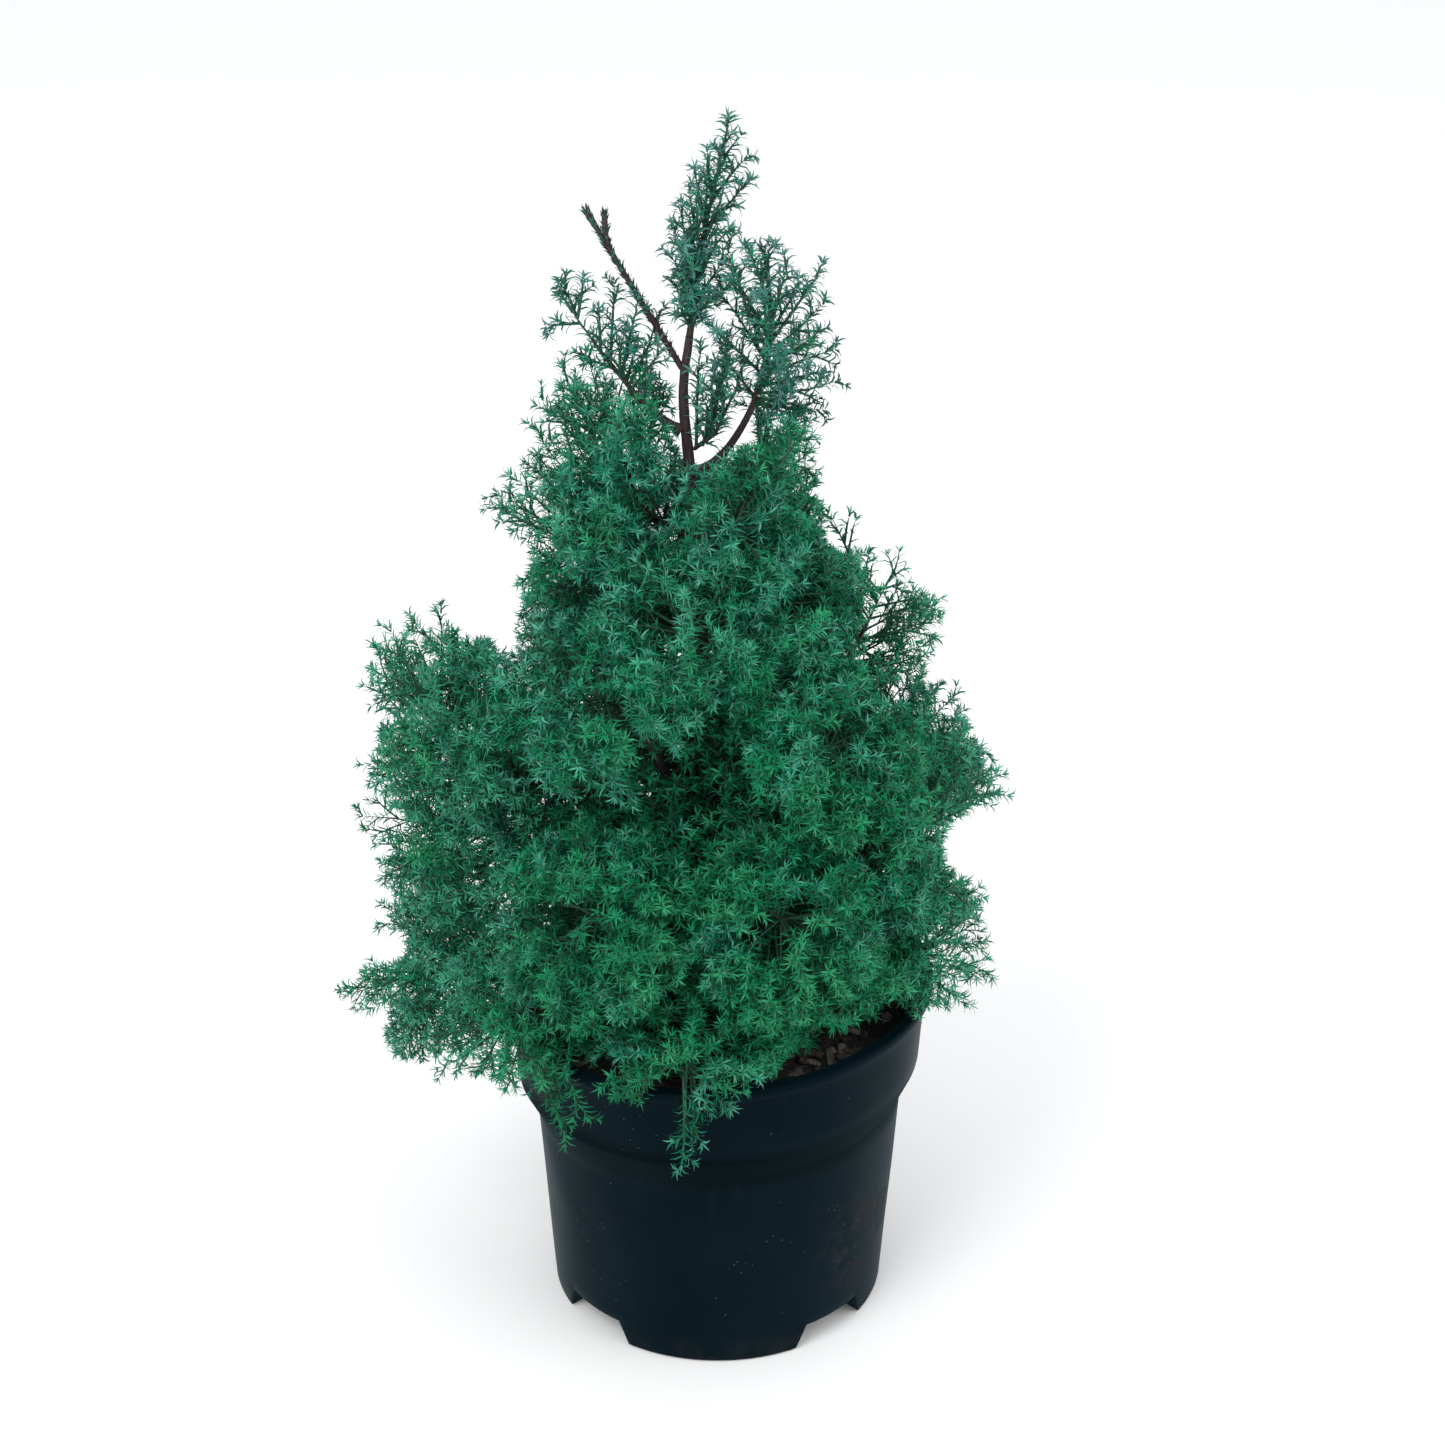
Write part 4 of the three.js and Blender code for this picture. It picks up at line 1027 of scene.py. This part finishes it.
def seeded_draws(seed):
    """The solids' own repeatable draws from 0 to 1."""
    state = seed & 0xFFFFFFFF

    def draw():
        nonlocal state
        state = (state + 0x6D2B79F5) & 0xFFFFFFFF
        mixed = ((state ^ (state >> 15)) * (1 | state)) & 0xFFFFFFFF
        turned_over = ((mixed ^ (mixed >> 7)) * (61 | mixed)) & 0xFFFFFFFF
        mixed ^= (mixed + turned_over) & 0xFFFFFFFF
        return ((mixed ^ (mixed >> 14)) & 0xFFFFFFFF) / 4294967296
    return draw


def beads_along(arc, thick, thin):
    return [(*arc_point(arc, k / LIMB_BEADS), thick + (thin - thick) * k / LIMB_BEADS)
            for k in range(LIMB_BEADS + 1)]


def limb_beads():
    """The limbs as beads, each x, y, z and radius, for shoots to keep clear of."""
    beads = []
    for k in range(TRUNK_BEADS + 1):
        point = trunk_point(k / TRUNK_BEADS)
        beads.append((*point, trunk_radius_at(point[2])))
    for plan in boughs:
        beads += beads_along(plan["arc"], BOUGH_RADIUS, BOUGH_TIP_RADIUS)
    for arc in bare_arcs:
        beads += beads_along(arc, 2.0, 1.6)
    return np.array(beads)


def of_masses(key):
    return np.array([plan[key] for plan in masses])


def units(vectors):
    return vectors / np.linalg.norm(vectors, axis=1)[:, None]


beads = limb_beads()
centres, halves, girths = of_masses("centre"), of_masses("half"), of_masses("girth")
chords = units(of_masses("tip") - of_masses("start"))
pulls = np.array([HOLD.get(plan["name"], CELL_PULL * plan["girth"]) ** 2 for plan in masses])
spacing = np.linalg.norm(centres[:, None] - centres[None], axis=2)


def clear_of_pot(points):
    reach = np.hypot(points[:, 0], points[:, 1])
    rim = POT_HEIGHT + lean_of_rim(points[:, 0], POT_HEIGHT)
    clear = RIM_MARGIN + NEEDLE_REACH
    inner = points[:, 2] > rim - SOIL_DROP + SOIL_RELIEF + clear
    outer = (reach > LIP_RADIUS + clear) | (points[:, 2] > rim + clear)
    return np.where(reach < COLLAR_RADIUS - clear, inner, outer)


def clear_of_limbs(points):
    gaps = np.linalg.norm(points[:, None] - beads[None, :, :3], axis=2) - beads[:, 3]
    return (gaps > LIMB_MARGIN).all(1)


def in_cell(points, own):
    pulled = ((points[:, None] - centres[None]) ** 2).sum(2) - pulls
    lead = pulled - pulled[:, own:own + 1] + 2 * CELL_OVERLAP * spacing[own]
    lead[:, own] = 1
    return (lead > 0).all(1)


def depth_in_mass(points, own, margin=0):
    """0 at the heart of a mass and 1 at the edge of its reach, or a margin inside that edge."""
    offset = points - centres[own]
    along = (offset * chords[own]).sum(1)
    across = np.sqrt(np.maximum((offset ** 2).sum(1) - along ** 2, 0))
    return np.sqrt((along / (halves[own] - margin)) ** 2 + (across / (girths[own] - margin)) ** 2)


def on_sight(x, z, behind):
    """The point of a line of sight that lies so far behind the plane of the trunk."""
    sight = np.array([x, 0, z]) - SEEN_FROM
    return SEEN_FROM + sight * (behind - SEEN_FROM[1]) / -SEEN_FROM[1]


def outside_gaps(points):
    sight = points - SEEN_FROM
    in_plane = SEEN_FROM + sight * (-SEEN_FROM[1] / sight[:, 1:2])
    off = in_plane[:, None, [0, 2]] - SEEN_GAPS[None, :, :2]
    return (np.linalg.norm(off, axis=2) > SEEN_GAPS[:, 2]).all(1)


def fits(points, own, free=False):
    """Which points keep to the mass's space: its cell and reach, clear of pot and limbs."""
    good = clear_of_pot(points) & clear_of_limbs(points)
    if free:
        return good
    in_reach = depth_in_mass(points, own, NEEDLE_REACH) < 1
    return good & outside_gaps(points) & in_reach & in_cell(points, own)


def around_stem(along, aside, turn):
    """The way square to along that stands so many degrees round it from aside."""
    normal = unit(aside - along * (aside @ along))
    angle = math.radians(turn)
    return normal * math.cos(angle) + np.cross(along, normal) * math.sin(angle)


# Every shoot: its arc, its radius at foot and tip, the share of it that bears no needles, the
# number of its mass and of its green, its order from the stem, and whether its needles are coarse
shoots = []


def grow_side_shoots(arc, length, facing, own, tone, rng, order, leafy_from, width, free, coarse):
    """Side shoots stand in turn on both sides of a shoot, shorter towards its tip."""
    count = int(length * (1 - leafy_from) / SIDE_PITCH + 0.5)
    first = rng.integers(2)
    for k in range(count):
        share = leafy_from + (1 - leafy_from) * (k + rng.uniform(0.2, 0.8)) / count
        along = arc_heading(arc, share)
        side = 90 if (k + first) % 2 else -90
        away = around_stem(along, facing, side + rng.normal(0, 50 if free else 34))
        left = length * (1 - share)
        limit = min(width, 0.62 * left + 6) * rng.uniform(0.7, 1.15)
        fork = math.radians(rng.uniform(*SIDE_FORK))
        heading = unit(along * math.cos(fork) + away * math.sin(fork) + np.array([0, 0, 0.08]))
        root = arc_point(arc, share)
        good = fits(root + heading * limit * SIDE_SHARES, own, free)
        limit *= float(SIDE_SHARES[int(np.argmax(good)), 0]) if good.any() else 0
        if limit < SHORTEST_SIDE:
            continue
        tip = root + heading * limit
        curve = (root, (root + tip) / 2 + unit(along) * limit * 0.09, tip)
        radii = (0.85, 0.5) if free else (0.6, 0.4)
        shoots.append((curve, *radii, 0.06, own, tone, order + 1, coarse))
        if order == 1 and limit > FORKED_SIDE and not coarse:
            grow_side_shoots(curve, limit, np.cross(along, away), own, tone, rng, 2, 0.28,
                             0.5 * limit + 2, free, coarse)


def spray_tone(tip, rng):
    """Greener low in front, bluer to the back and sides, and hazy out at the sides and the top."""
    x, y, z = tip
    if rng.random() < 0.7 * smooth_step(abs(x), 70, 170) + 0.3 * smooth_step(z, 370, 500):
        return HAZY
    blue = 0.18 + 0.3 * abs(x) / 160 + 0.5 * (z - 330) / 220 + 0.2 * y / 160
    blue = min(max(blue, 0.12), 0.8)
    return rng.choice([GREEN, BLUE, BRIGHT], p=[0.6 * (1 - blue), blue, 0.4 * (1 - blue)])


def grow_frond(root, tip, facing, own, rng, bare, width, free=False, coarse=False):
    """A shoot with its side shoots. A free one may leave the mass's own space."""
    length = np.linalg.norm(tip - root)
    heading = (tip - root) / length
    tone = spray_tone(tip, rng)
    sway = np.cross(heading, facing) * rng.normal(0, 0.06) + facing * rng.normal(0, 0.04)
    arc = (root, (root + tip) / 2 + (sway + np.array([0, 0, -0.04])) * length, tip)
    radii = (1.15, 0.6) if free else (0.95, 0.45)
    shoots.append((arc, *radii, bare, own, tone, 1, coarse))
    grow_side_shoots(arc, length, facing, own, tone, rng, 1, bare, width, free, coarse)


def room_along(root, heading, limit, own):
    """How far a frond can run before it leaves the mass's space."""
    steps = np.arange(ROOM_STEP, limit + ROOM_STEP, ROOM_STEP)
    good = fits(root + heading * steps[:, None], own)
    length = limit if good.all() else steps[int(np.argmin(good))] - ROOM_STEP
    return length if length > SHORTEST_FROND * limit else 0


def grow_mass(own):
    plan = masses[own]
    kind = KINDS[plan["kind"]]
    draw = seeded_draws(plan["seed"])
    rng = np.random.default_rng(plan["seed"])
    aside = side_of(plan["azimuth"])
    arc = plan["arc"]
    hand_set = plan["name"] in HAND_SET
    stem_radius = 1.7 if hand_set and plan["name"] != "leader_foliage" else STEM_RADIUS
    shoots.append((arc, stem_radius, 0.9, 0.2 if hand_set else 0.7, own, GREEN, 0, False))
    root = arc[2]
    reach = np.linalg.norm(plan["tip"] - root)
    heading = (plan["tip"] - root) / reach
    hanging = heading[2] < HANGING
    facing = unit(np.cross(aside, heading)) if hanging else aside
    length = reach - 4 if hand_set else room_along(root, heading, reach, own)
    if length > SHORTEST_END:
        grow_frond(root, root + heading * length, facing, own, rng, 0.1,
                   HANGING_WIDTH if hanging else kind["width"], hand_set)
    for share, x, z, behind, width in SEEN_SPRAYS.get(plan["name"], []):
        grow_frond(arc_point(arc, share), on_sight(x, z, behind), outward(-90), own, rng,
                   0.06 if hand_set else 0.25, width, True)
    if hand_set:
        return
    for turn in range(int(kind["fronds"] * THINNED.get(plan["name"].split("_")[0], 1))):
        share = LOWEST_TWIG + (1 - LOWEST_TWIG) * (((turn + draw()) / kind["twigs"]) % 1)
        loose = draw()
        fork = math.radians(TWIG_FORK + TWIG_FORK_PLAY * (draw() - 0.5))
        along = arc_heading(arc, share)
        if kind["open"]:
            away = around_stem(along, outward(plan["azimuth"]),
                               180 * (turn % 2) + FAN_TURN_PLAY * (loose - 0.5))
        else:
            away = around_stem(along, aside, turn * GOLDEN_TURN + TWIG_TURN_PLAY * loose)
        heading = along * math.cos(fork) + away * math.sin(fork)
        heading = unit(heading + np.array([0, 0, TWIG_LIFT]))
        facing = np.cross(heading, away)
        facing = unit(facing + (aside - facing) * 0.3)
        start = arc_point(arc, share)
        length = room_along(start, heading, kind["spray"] * (1 - kind["dwindle"] * share), own)
        if length:
            grow_frond(start, start + heading * length, facing, own, rng,
                       kind["bare"] * rng.uniform(0.6, 0.95), kind["width"])


def grow_inside(limb, own, count, rng):
    """Dull shoots that a limb still bears in the shade near the trunk."""
    for turn in range(count):
        share = 0.12 + 0.88 * (turn + rng.random()) / count
        along = arc_heading(limb["arc"], share)
        away = around_stem(along, side_of(limb["azimuth"]), turn * GOLDEN_TURN + rng.normal(0, 15))
        heading = unit(along * 0.45 + away * 0.85 + np.array([0, 0, 0.12]))
        root = arc_point(limb["arc"], share)
        tip = root + heading * rng.uniform(*INSIDE_LENGTH)
        inside = np.hypot(*tip[:2]) < INSIDE_REACH * np.hypot(*masses[own]["tip"][:2])
        if inside and fits(np.array([tip, (root + tip) / 2]), own, True).all():
            grow_frond(root, tip, away, own, rng, 0.2, 20, True, True)


names = [plan["name"] for plan in masses]
for number in range(len(masses)):
    grow_mass(number)
inside_draw = np.random.default_rng(88)
for bough in boughs:
    if "_bough_" in bough["name"]:
        number = names.index(bough["name"].replace("bough", "foliage"))
        grow_inside(bough, number, BOUGH_INSIDE, inside_draw)
        grow_inside(masses[number], number, STEM_INSIDE, inside_draw)


def leant(first, second, angle):
    """Vectors that lean from the first ones towards the second ones, by an angle each."""
    return first * np.cos(angle)[:, None] + second * np.sin(angle)[:, None]


def spun(normal, along, angle):
    """Vectors at an angle round each shoot's heading."""
    return leant(normal, np.cross(along, normal), angle)


def square_to(along, vectors):
    return units(vectors - along * (vectors * along).sum(1)[:, None])


def any_normal(along):
    helper = np.where(np.abs(along[:, 2:3]) < 0.9, [[0, 0, 1.0]], [[1.0, 0, 0]])
    return units(np.cross(along, helper))


def arcs_at(arcs, share):
    share = share[:, None]
    p0, p1, p2 = arcs[:, 0], arcs[:, 1], arcs[:, 2]
    return p0 * (1 - share) ** 2 + p1 * 2 * share * (1 - share) + p2 * share ** 2


def headings_at(arcs, share):
    share = share[:, None]
    p0, p1, p2 = arcs[:, 0], arcs[:, 1], arcs[:, 2]
    return units((p1 - p0) * (1 - share) + (p2 - p1) * share)


arcs, thick, thin, leafy_from, owner, tone, order, coarse = (np.array(v) for v in zip(*shoots))
lengths = np.linalg.norm(arcs[:, 2] - arcs[:, 0], axis=1)
hand_set = np.isin(owner, [names.index(name) for name in HAND_SET])
TWIG_BEND = 0.6


def repeated(faces, count, corners):
    """The faces of one shape, said over for so many copies of its corners."""
    return (np.array(faces)[None] + (np.arange(count) * corners)[:, None, None]).reshape(-1, 3)


def shoot_tubes(chosen):
    """Three-sided tubes along the chosen shoots, in two steps, closed to a point at the tip."""
    some = arcs[chosen]
    count = len(some)
    normal = any_normal(headings_at(some, np.full(count, 0.5)))
    rings = []
    for share in (0.0, TWIG_BEND):
        at = np.full(count, share)
        along = headings_at(some, at)
        flat = square_to(along, normal)
        radius = thick[chosen] + (thin[chosen] - thick[chosen]) * share
        for k in range(3):
            angle = np.full(count, 2 * np.pi * k / 3)
            rings.append(arcs_at(some, at) + spun(flat, along, angle) * radius[:, None])
    rings.append(some[:, 2])
    points = np.stack(rings, 1).reshape(-1, 3)
    sides = [(k, (k + 1) % 3) for k in range(3)]
    faces = [face for a, b in sides for face in ((a, b, b + 3), (a, b + 3, a + 3))]
    faces += [(a + 3, b + 3, 6) for a, b in sides]
    return points, repeated(faces, count, len(rings)), len(faces)


NEEDLE_PITCH = 2.25
OPEN_PITCH = 1.9
COARSE_PITCH = 4.6
NEEDLE_LENGTH = 7.9
NEEDLE_WIDTH = 0.98
NEEDLE_SPREAD = (46, 64)
NEEDLE_BEND = (22, 46)
OPEN_WIDER = 1.3
COARSE_WIDER = 1.6
TIP_CROWDING = 0.85
YOUNG_REACH = 7.0
CROWN_NEEDLES = 5
CROWN_SHARE = 0.985


def needle_bases(chosen, rng):
    """Where the chosen shoots' needles stand: shoot, share of it, turn and way from its tip."""
    leafy = lengths[chosen] * (1 - leafy_from[chosen])
    pitch = np.where(coarse[chosen], COARSE_PITCH,
                     np.where(hand_set[chosen], OPEN_PITCH, NEEDLE_PITCH))
    pairs = np.maximum((leafy / pitch).astype(int), 1)
    which = np.repeat(chosen, pairs)
    step = np.arange(pairs.sum()) - np.repeat(np.cumsum(pairs) - pairs, pairs)
    total = np.repeat(pairs, pairs)
    share = leafy_from[which] + (1 - leafy_from[which]) * ((step + 0.6) / total) ** TIP_CROWDING
    turn = (step % 2) * np.pi / 2 + rng.normal(0, 0.25, len(which))
    from_tip = (1 - share) * lengths[which]
    which, share, turn, from_tip = (np.repeat(v, 2) for v in (which, share, turn, from_tip))
    turn[1::2] += np.pi
    # A few needles crowd at the very tip and make its star
    leafy_ends = chosen[order[chosen] > 0]
    crown = np.repeat(leafy_ends, CROWN_NEEDLES)
    turns = np.tile(np.arange(CROWN_NEEDLES) * 2 * np.pi / CROWN_NEEDLES, len(leafy_ends))
    turns = turns + rng.normal(0, 0.3, len(crown))
    return (np.concatenate([which, crown]),
            np.concatenate([np.minimum(share, 0.99), np.full(len(crown), CROWN_SHARE)]),
            np.concatenate([turn, turns]), np.concatenate([from_tip, np.full(len(crown), -2.0)]))


def awls(root, low, high, size, wide, twist):
    """Bent awls of three faces each: two points at the root, two at the bend, and the tip."""
    elbow = root + low * (size * 0.5)[:, None]
    tip = elbow + high * (size * 0.5)[:, None]
    side = np.cross(low, high)
    side /= np.linalg.norm(side, axis=1)[:, None] + 1e-9
    half = spun(side, low, twist) * (wide * 0.8)[:, None]
    points = np.stack([root - half, root + half, elbow + half, elbow - half, tip], 1).reshape(-1, 3)
    return points, repeated([(0, 1, 2), (0, 2, 3), (3, 2, 4)], len(root), 5)


def needle_fan(chosen, rng):
    """The needles that clothe the chosen shoots."""
    which, share, turn, from_tip = needle_bases(chosen, rng)
    some = arcs[which]
    along = headings_at(some, share)
    base_normal = any_normal(headings_at(some, np.full(len(some), 0.5)))
    away = spun(square_to(along, base_normal), along, turn)
    count = len(which)
    young = np.clip(1 - from_tip / YOUNG_REACH, 0, 1)
    size = NEEDLE_LENGTH * rng.uniform(0.8, 1.15, count) * (1 - 0.2 * young)
    closed = np.where(hand_set[which], 2, 18) * young
    spread = np.radians(rng.uniform(*NEEDLE_SPREAD, count) - closed)
    bend = np.radians(rng.uniform(*NEEDLE_BEND, count))
    low = leant(along, away, spread)
    high = leant(along, away, spread + bend)
    radius = thick[which] + (thin[which] - thick[which]) * share
    root = arcs_at(some, share) + away * (radius * 0.7)[:, None]
    wide = NEEDLE_WIDTH / 2 * rng.uniform(0.85, 1.15, count)
    wide *= np.where(coarse[which], COARSE_WIDER, np.where(hand_set[which], OPEN_WIDER, 1))
    points, faces = awls(root, low, high, size, wide, rng.normal(0, 0.6, count))
    return points, faces, which, young


# The plain greens, dealt out by spray, with paler ones at young ends, and inside the masses the
# deep green as painted shade and the hazy one as painted light
GREENS = {
    "needle_deep": (10, 95, 62),
    "needle_green": (10, 116, 76),
    "needle_blue": (18, 116, 86),
    "needle_bright": (26, 127, 84),
    "needle_pale": (68, 144, 120),
    "needle_grey": (64, 113, 106),
    "needle_fresh": (50, 138, 95),
    "needle_hazy": (44, 138, 103),
}


def green_needles(name, rgb):
    material, n, shader = new_material(name, 0.6, 0.2)
    shaded = colour(*(c * 0.86 for c in rgb))
    light = colour(*(min(c * 1.1, 255) for c in rgb))
    tint, cloud = mottled(n, n.place(), (60.0, 2.0, 0.55), (0.35, 0.65), shaded, light)
    wire(n, shader, tint, n.ramp(cloud, 0.3, 0.7, 0.56, 0.44))
    return material


def twig_skin(name, young, old):
    material, n, shader = new_material(name, 0.7, 0.35)
    tint, cloud = mottled(
        n, n.place(), (180.0, 3.0, 0.55), (0.38, 0.62), colour(*young), colour(*old))
    wire(n, shader, tint, None, (cloud, 0.3, 0.0004))
    return material


needle_greens = [green_needles(name, rgb) for name, rgb in GREENS.items()]
twig_skins = [twig_skin("twig_brown", (72, 58, 50), (52, 44, 42)),
              twig_skin("shoot_green", (30, 84, 62), (44, 72, 58))]
shoot_depth = depth_in_mass(arcs_at(arcs, np.full(len(arcs), 0.8)), owner)
in_open_mass = np.array([KINDS[plan["kind"]]["open"] for plan in masses])[owner]
# Beyond this far to the sides or this high, the light reaches the inside of the masses too, and
# painted light gives the needles there the hazy green in place of the deep one
LIT_SIDE = 105.0
LIT_HEIGHT = 410.0
SHADED_DEPTH = 0.5
WOODY_DEPTH = 0.42
YOUNG_GREENS = np.array([BRIGHT, BRIGHT, PALE, FRESH, PALE, GREY, FRESH, PALE])


def deal_greens(which, young, rng):
    """A green for each needle: its spray's own, with painted shade inside a mass and painted light
    where the light reaches in, paler at a young end.
    """
    green = tone[which]
    depth = shoot_depth[which] + rng.normal(0, 0.06, len(which))
    lit = (np.abs(arcs[which, 2, 0]) > LIT_SIDE) | (arcs[which, 2, 2] > LIT_HEIGHT)
    shaded = ((depth < SHADED_DEPTH) & ~in_open_mass[which]) | coarse[which]
    # Painted shade: needles inside a closed mass take the deep green; painted light: where the
    # light reaches in, they take the hazy green instead
    green = np.where(shaded, np.where(lit, HAZY, DEEP), green)
    tipped = (young > 0.45) & (rng.random(len(which)) < 0.6) & (depth > 0.6)
    green = np.where(tipped, YOUNG_GREENS[green], green)
    # The open top is greyer, and blue takes the place of its pale and fresh greens
    top = hand_set[which]
    grey = top & (rng.random(len(which)) < np.where(young > 0.3, 0.8, 0.45))
    return np.where(grey, GREY, np.where(top & np.isin(green, [PALE, FRESH]), BLUE, green))


# The pieces: each is needles or twigs of the masses of one tier, or part of it, by number
GROUPS = {"skirt_front": (8, 1, 2, 3), "skirt_back": (4, 5, 6, 7), "low_right": (1, 2, 3, 4),
          "low_left": (5, 6, 7), "middle_right": (1, 2, 3), "middle_left": (4, 5, 6),
          "shoulder": (1, 2, 3, 4, 5), "top": (1, 2, 3), "open_top": ()}
for number, (group, members) in enumerate(GROUPS.items()):
    nodes = [f"{group.split('_')[0]}_foliage_{k}" for k in members] or list(HAND_SET)
    rng = np.random.default_rng(700 + number)
    chosen = np.flatnonzero(np.isin(owner, [names.index(node) for node in nodes]))
    points, faces, which, young = needle_fan(chosen, rng)
    dealt = np.repeat(deal_greens(which, young, rng), 3)
    needles = joined_mesh(f"needles_{group}", points, faces, needle_greens, dealt)
    points, faces, per = shoot_tubes(chosen)
    inside = (order == 1) & (shoot_depth < WOODY_DEPTH) & ~hand_set
    woody = ((order == 0) | inside)[chosen]
    dealt = np.repeat(np.where(woody, 0, 1), per)
    twigs = joined_mesh(f"twigs_{group}", points, faces, twig_skins, dealt)
    for piece in (needles, twigs):
        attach(piece, "root")
        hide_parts(*nodes)

# Scales of the bare shoot: short needles left pressed to it, brown below and greener towards its
# two ends, where they crowd into blunt buds.
SCALE_PITCH = 1.5
SCALE_LENGTH = 4.6
SCALE_WIDTH = 1.7
SCALE_TURN = 2.4
BUD_SCALES = 26


def pressed_scales(name):
    rng = np.random.default_rng(41)
    parts = []
    for arc, radius in zip(bare_arcs, (1.5, 1.15)):
        arc = np.array(arc)
        count = int(np.linalg.norm(arc[2] - arc[0]) / SCALE_PITCH)
        share = np.repeat(0.04 + 0.96 * ((np.arange(count) + 0.5) / count) ** 0.8, 3)
        share = np.concatenate([share, rng.uniform(0.93, 1.0, BUD_SCALES)])
        many = np.repeat(arc[None], len(share), 0)
        along = headings_at(many, share)
        turn = np.arange(len(share)) * SCALE_TURN + rng.normal(0, 0.3, len(share))
        away = spun(any_normal(along), along, turn)
        parts.append((arcs_at(many, share) + away * radius * 0.9, along, away, share))
    root, along, away, share = (np.concatenate(v) for v in zip(*parts))
    spread = np.radians(rng.uniform(14, 34, len(root)) * np.where(share > 0.9, 0.6, 1))
    low = leant(along, away, spread)
    high = leant(along, away, spread * 1.9)
    size = SCALE_LENGTH * rng.uniform(0.7, 1.15, len(root))
    wide = SCALE_WIDTH / 2 * rng.uniform(0.8, 1.1, len(root))
    points, faces = awls(root, low, high, size, wide, rng.normal(0, 0.3, len(root)))
    green = rng.random(len(root)) < (share - 0.3) * 1.5 * np.where(share > 0.92, 0.4, 1)
    dealt = np.repeat(np.where(green, rng.integers(1, 3, len(root)), 0), 3)
    finishes = [twig_skins[0], needle_greens[DEEP], needle_greens[GREY]]
    return joined_mesh(name, points, faces, finishes, dealt)


scales = pressed_scales("bare_shoot_scales")
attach(scales, "root")
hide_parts("bare_shoot")

# Studio: a plain pale floor under soft daylight from above and in front, and the camera at the
# photograph's own angle and distance.
CAMERA_AIM = Vector((0.003, 0.0, 0.381))
CAMERA_DISTANCE = 1.6
CAMERA_ELEVATION = math.radians(25.6)
PHOTO_PIXELS = 1445
FOCUS_PIXELS = 2755
SENSOR_WIDTH = 36


def pale_floor():
    deselect_all()
    bpy.ops.mesh.primitive_plane_add(size=12, location=(0, 0, 0))
    floor = bpy.context.object
    floor.name = "floor"
    material, _, shader = new_material("floor_white", 0.9, 0.2)
    shader.inputs["Base Color"].default_value = (0.9, 0.9, 0.9, 1)
    floor.data.materials.append(material)
    return floor


def soft_light(name, place, size, power):
    light = bpy.data.lights.new(name, "AREA")
    light.shape = "DISK"
    light.size = size
    light.energy = power
    lamp = placed(name, light)
    lamp.location = place
    lamp.rotation_euler = (CAMERA_AIM - Vector(place)).to_track_quat("-Z", "Y").to_euler()


def photo_camera():
    view = bpy.data.cameras.new("camera")
    view.sensor_width = SENSOR_WIDTH
    view.lens = FOCUS_PIXELS / PHOTO_PIXELS * SENSOR_WIDTH
    view.clip_end = 50
    camera = placed("camera", view)
    back = Vector((0, -math.cos(CAMERA_ELEVATION), math.sin(CAMERA_ELEVATION)))
    camera.location = CAMERA_AIM + back * CAMERA_DISTANCE
    camera.rotation_euler = (math.pi / 2 - CAMERA_ELEVATION, 0, 0)
    bpy.context.scene.camera = camera


pale_floor()
soft_light("key_light", (-1.6, -2.2, 3.0), 2.2, 70)
soft_light("fill_light", (2.4, -1.0, 2.0), 2.5, 25)
world = bpy.data.worlds.new("daylight")
world.use_nodes = True
world.node_tree.nodes["Background"].inputs["Color"].default_value = (0.97, 0.985, 1.0, 1)
world.node_tree.nodes["Background"].inputs["Strength"].default_value = 1.04
bpy.context.scene.world = world
bpy.context.scene.view_settings.view_transform = "Standard"
photo_camera()
